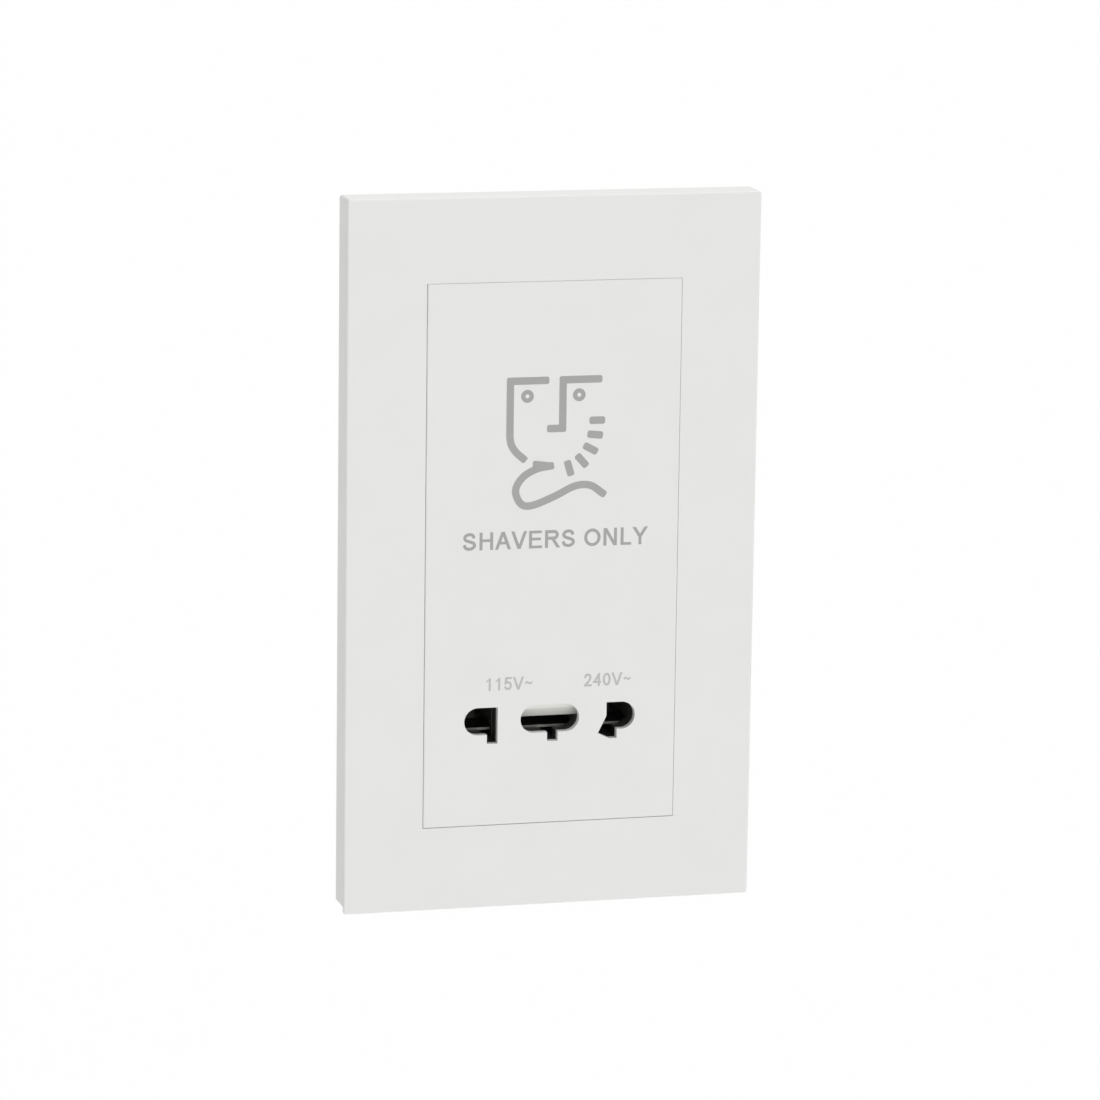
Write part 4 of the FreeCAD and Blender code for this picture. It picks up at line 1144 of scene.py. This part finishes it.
@dataclass
class RearWorks:
    """The rear housing with its screws, the circuit board and the mains terminals.

    Attributes:
        head_mm: Height of a screw's head.
        head_sides: Sides that stand for its round.
        rim_mm: Width and height of the bevel round its top.
        slot_mm: Width and depth of its slot.
        core_sides: Sides that stand for the round of the shank.
        thread_mm: Height of the thread's ridge.
        thread_steps: Spans in one turn of the thread.
        thread_sides: Sides of the ridge's section.
        pitch_mm: From one turn of the thread to the next.
        run_out: Plain length at each end of the thread, in heights of the ridge.
        solder_mm: Radius of a solder cone at the board and at its top, and its height.
        solder_sides: Sides that stand for its round.
        solder_rings: Rings of faces up its side.
    """

    head_mm: float = 1.8
    head_sides: int = 40
    rim_mm: float = 0.35
    slot_mm: Point = (0.8, 0.9)
    core_sides: int = 24
    thread_mm: float = 0.28
    thread_steps: int = 20
    thread_sides: int = 4
    pitch_mm: float = 0.9
    run_out: float = 1.1
    solder_mm: tuple[float, float, float] = (1.15, 0.5, 0.95)
    solder_sides: int = 20
    solder_rings: int = 3

    def dress(self) -> None:
        """Gives the solids their finish."""
        dress(PALE_HOUSING, "rear_housing")
        dress(BOARD_LAMINATE, "circuit_board")
        dress(PHENOLIC_CASE, "thermal_cutout")
        dress(CHARCOAL_POLYAMIDE, "terminal_block")
        dress(ROLLED_BRASS, "terminal_line", "terminal_neutral", "terminal_earth")
        dress(ZINC_PLATE, "housing_screws", "terminal_screws")

    def places(self, boxes: list[tuple[Vector, Vector]]) -> bpy.types.Mesh:
        """Marks the middle of each box, as seen from behind.

        Args:
            boxes: Lowest and highest corners.

        Returns:
            A mesh of loose points, with the rear face as its level plane.
        """
        middles = [(low + high) / 2 for low, high in boxes]
        mesh = bpy.data.meshes.new("places")
        mesh.from_pydata([(middle.x, -middle.z, 0) for middle in middles], [], [])
        return mesh

    def make_screws(self, name: str, node: str) -> None:
        """Makes one group of slotted screws, with a bevelled head and a thread as deep as the solid allows.

        Args:
            name: The piece's name.
            node: The group of solids that it stands for.
        """
        boxes = solids_of(node)
        low, high = boxes[0]
        head_radius = (high.x - low.x) / 2
        head = self.head_mm * MM
        rim = self.rim_mm * MM
        slot_wide, slot_deep = self.slot_mm
        shank = high.y - low.y - head
        thread = self.thread_mm * MM
        # The slot's cutter runs past the head on both sides and stands half above it.
        cutter = Vector((3 * head_radius, slot_wide * MM, 2 * slot_deep * MM))
        shape = NodeShape(name, {
            "Head Radius": head_radius,
            "Head": head - rim,
            "Head Place": Vector((0, 0, -(head + rim) / 2)),
            "Rim": rim,
            "Crown": 1 - rim / head_radius,
            "Slot": cutter,
            "Shank": shank,
            "Shank Place": Vector((0, 0, -head - shank / 2)),
            "Core Radius": self.shank_radius(node) - thread,
            "Thread": thread,
            "Thread Length": shank - 2 * self.run_out * thread,
            "Thread Place": Vector((0, 0, self.run_out * thread - head - shank)),
            "Turns": shank / (self.pitch_mm * MM) - 1,
        }, self.places(boxes))
        size = shape.size
        drum = shape.add("MeshCylinder", {"Vertices": self.head_sides, "Radius": size["Head Radius"],
                                          "Depth": size["Head"]})
        raised = shape.add("ExtrudeMesh", {"Mesh": drum, "Selection": drum.node.outputs["Top"],
                                           "Offset Scale": size["Rim"], "Individual": False})
        bevelled = shape.add("ScaleElements", {"Geometry": raised, "Scale": size["Crown"],
                                               "Selection": raised.node.outputs["Top"]})
        blank = shape.add("Transform", {"Geometry": bevelled, "Translation": size["Head Place"]})
        slot = shape.add("MeshCube", {"Size": size["Slot"]})
        cap = shape.add("MeshBoolean", {"Mesh 1": blank, "Mesh 2": slot},
                        operation="DIFFERENCE", solver="EXACT")
        core = shape.add("MeshCylinder", {"Vertices": self.core_sides, "Radius": size["Core Radius"],
                                          "Depth": size["Shank"]})
        helix = shape.add("CurveSpiral", {
            "Resolution": self.thread_steps,
            "Rotations": size["Turns"],
            "Start Radius": size["Core Radius"],
            "End Radius": size["Core Radius"],
            "Height": size["Thread Length"],
        })
        upright = shape.add("SetCurveNormal", {"Curve": helix}, mode="Z_UP")
        ridge = shape.wire(upright, size["Thread"], self.thread_sides, capped=True)
        parts = [
            cap,
            shape.add("Transform", {"Geometry": core, "Translation": size["Shank Place"]}),
            shape.add("Transform", {"Geometry": ridge, "Translation": size["Thread Place"]}),
        ]
        screw = shape.add("JoinGeometry", {"Geometry": parts})
        row = shape.add("InstanceOnPoints", {"Points": size["Geometry"], "Instance": screw})
        screws = shape.bake(row, ZINC_PLATE, placed(Vector((0, high.y, 0)), BACK_TURN))
        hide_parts(node)

    def shank_radius(self, node: str) -> float:
        """Measures the shank of a group of screws, at its tip.

        Args:
            node: The group of solids.

        Returns:
            The shank's radius.
        """
        low, high = solids_of(node)[0]
        tip = [v.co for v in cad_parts[node].data.vertices
               if abs(v.co.y - low.y) < NEAR and low.x < v.co.x < high.x and low.z < v.co.z < high.z]
        return (max(p.x for p in tip) - min(p.x for p in tip)) / 2

    def make_solder(self) -> None:
        """Makes the solder cones round the pins behind the board."""
        base, top, tall = self.solder_mm
        shape = NodeShape("solder_cones", {
            "Base Radius": base * MM,
            "Top Radius": top * MM,
            "Height": tall * MM,
        }, self.places(solids_of("bobbin_pins")))
        cone = shape.add("MeshCone", {
            "Vertices": self.solder_sides,
            "Side Segments": self.solder_rings,
            "Radius Top": shape.size["Top Radius"],
            "Radius Bottom": shape.size["Base Radius"],
            "Depth": shape.size["Height"],
        })
        row = shape.add("InstanceOnPoints", {"Points": shape.size["Geometry"], "Instance": cone})
        place = placed(Vector((0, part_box("circuit_board")[1].y, 0)), BACK_TURN)
        shape.bake(row, TINNED_STEEL, place, soft=True)

    def build(self) -> None:
        """Dresses the solids and makes screws and solder."""
        self.dress()
        self.make_screws("housing_slotted_screws", "housing_screws")
        self.make_screws("terminal_slotted_screws", "terminal_screws")
        self.make_solder()


@dataclass(frozen=True)
class Softbox:
    """A wide soft lamp.

    Attributes:
        name: What it is called.
        strength: Its power in watts per square metre.
        spread: Its width as the socket sees it, in degrees.
        direction: The way to it from the socket.
    """

    name: str
    strength: float
    spread: float
    direction: tuple[float, float, float]


@dataclass
class Studio:
    """Floor, light and the camera at the photograph's angle.

    Attributes:
        lens_mm: Focal length on a 36 mm sensor.
        yaw: How far the camera stands to the left, in degrees.
        pitch: How far it looks down.
        roll: How far it leans.
        aim: Where the middle of the plate's front lies from the lens: right, up and ahead.
        clip_start: Nearest distance that the camera sees.
        floor_drop: How far the floor lies below the socket's middle.
        floor_size: Length of the floor's sides.
        ambient: Strength of the light from all round.
        side_fall: How much stronger it is from the right, and weaker from the left.
        softboxes: The lamps.
    """

    lens_mm: float = 171.5
    yaw: float = 14.864
    pitch: float = 11.356
    roll: float = 0.781
    aim: tuple[float, float, float] = (0.43 * MM, -0.89 * MM, 1065.97 * MM)
    clip_start: float = 0.01
    floor_drop: float = 0.5
    floor_size: float = 40.0
    ambient: float = 0.55
    side_fall: float = 0.205
    softboxes: tuple[Softbox, ...] = (
        Softbox("top_softbox", 1.35, 50.0, (0.3, 0.0, 0.95)),
        Softbox("front_softbox", 0.57, 30.0, (0.1, -0.97, 0.2)))

    def make_camera(self) -> None:
        """Stands the camera where the photograph was taken from."""
        turn = Matrix.Rotation(math.radians(-self.yaw), 3, "Z")
        turn @= Matrix.Rotation(math.radians(90 - self.pitch), 3, "X")
        turn @= Matrix.Rotation(math.radians(self.roll), 3, "Z")
        right, up, ahead = self.aim
        middle = Vector((0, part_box("front_cover")[0].y, 0))
        data = bpy.data.cameras.new("camera")
        data.lens = self.lens_mm
        data.clip_start = self.clip_start
        camera = bpy.data.objects.new("camera", data)
        camera.matrix_world = Matrix.Translation(middle - turn @ Vector((right, up, -ahead))) @ turn.to_4x4()
        bpy.context.scene.collection.objects.link(camera)
        bpy.context.scene.camera = camera

    def make_softboxes(self) -> None:
        """Hangs one wide soft light above and one in front, both a little to the right."""
        for box in self.softboxes:
            data = bpy.data.lights.new(box.name, "SUN")
            data.energy = box.strength
            data.angle = math.radians(box.spread)
            lamp = bpy.data.objects.new(box.name, data)
            lamp.rotation_euler = Vector(box.direction).to_track_quat("Z", "Y").to_euler()
            bpy.context.scene.collection.objects.link(lamp)

    def make_world(self) -> None:
        """Fills the room with soft light, weaker from the left, and shows white behind everything."""
        world = bpy.data.worlds.new("studio")
        world.use_nodes = True
        tree = world.node_tree
        tree.nodes.clear()
        rays = add_node(tree, "ShaderNodeLightPath").outputs
        seen = rays["Is Camera Ray"]
        for kind in ("Is Glossy Ray", "Is Transmission Ray"):
            both = add_node(tree, "ShaderNodeMath", {0: seen, 1: rays[kind]}, operation="MAXIMUM")
            seen = both.outputs["Value"]
        heading = add_node(tree, "ShaderNodeTexCoord").outputs["Generated"]
        rightward = add_node(tree, "ShaderNodeSeparateXYZ", {"Vector": heading}).outputs["X"]
        level = add_node(tree, "ShaderNodeMath", {0: rightward, 1: self.side_fall, 2: self.ambient},
                         operation="MULTIPLY_ADD").outputs["Value"]
        fill = add_node(tree, "ShaderNodeBackground", {"Color": linear("#FFFFFF"), "Strength": level})
        white = add_node(tree, "ShaderNodeBackground", {"Color": linear("#FFFFFF"), "Strength": 1.0})
        both = add_node(tree, "ShaderNodeMixShader",
                        {0: seen, 1: fill.outputs["Background"], 2: white.outputs["Background"]})
        add_node(tree, "ShaderNodeOutputWorld", {"Surface": both.outputs["Shader"]})
        bpy.context.scene.world = world

    def make_floor(self) -> None:
        """Lays a pale floor well below, since the socket hangs on a wall that isn't shown."""
        mesh = bpy.data.meshes.new("floor")
        half = self.floor_size / 2
        corners = [(-half, -half), (half, -half), (half, half), (-half, half)]
        mesh.from_pydata([(x, y, -self.floor_drop) for x, y in corners], [], [(0, 1, 2, 3)])
        material = bpy.data.materials.new("white_floor")
        material.use_nodes = True
        tree = material.node_tree
        tree.nodes.clear()
        matt = add_node(tree, "ShaderNodeBsdfDiffuse", {"Color": linear("#FFFFFF")})
        clear = add_node(tree, "ShaderNodeBsdfTransparent")
        behind = add_node(tree, "ShaderNodeNewGeometry").outputs["Backfacing"]
        both = add_node(tree, "ShaderNodeMixShader",
                        {0: behind, 1: matt.outputs["BSDF"], 2: clear.outputs["BSDF"]})
        add_node(tree, "ShaderNodeOutputMaterial", {"Surface": both.outputs["Shader"]})
        mesh.materials.append(material)
        floor = bpy.data.objects.new("floor", mesh)
        bpy.context.scene.collection.objects.link(floor)

    def build(self) -> None:
        """Sets up the whole studio."""
        self.make_camera()
        self.make_softboxes()
        self.make_world()
        self.make_floor()
        bpy.context.scene.view_settings.view_transform = "Standard"


def corners(box: tuple[Vector, Vector]) -> list[list[float]]:
    """Turns a box into plain lists."""
    return [list(corner) for corner in box]


def main() -> None:
    """Builds every part of the scene in order."""
    logging.basicConfig(level=logging.INFO, format="%(name)s: %(message)s")
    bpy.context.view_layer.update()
    for part in (WallPlate(), CoverPrint(), SocketWorks(), Transformer(), RearWorks(), Studio()):
        part.build()


if __name__ == "__main__":
    main()
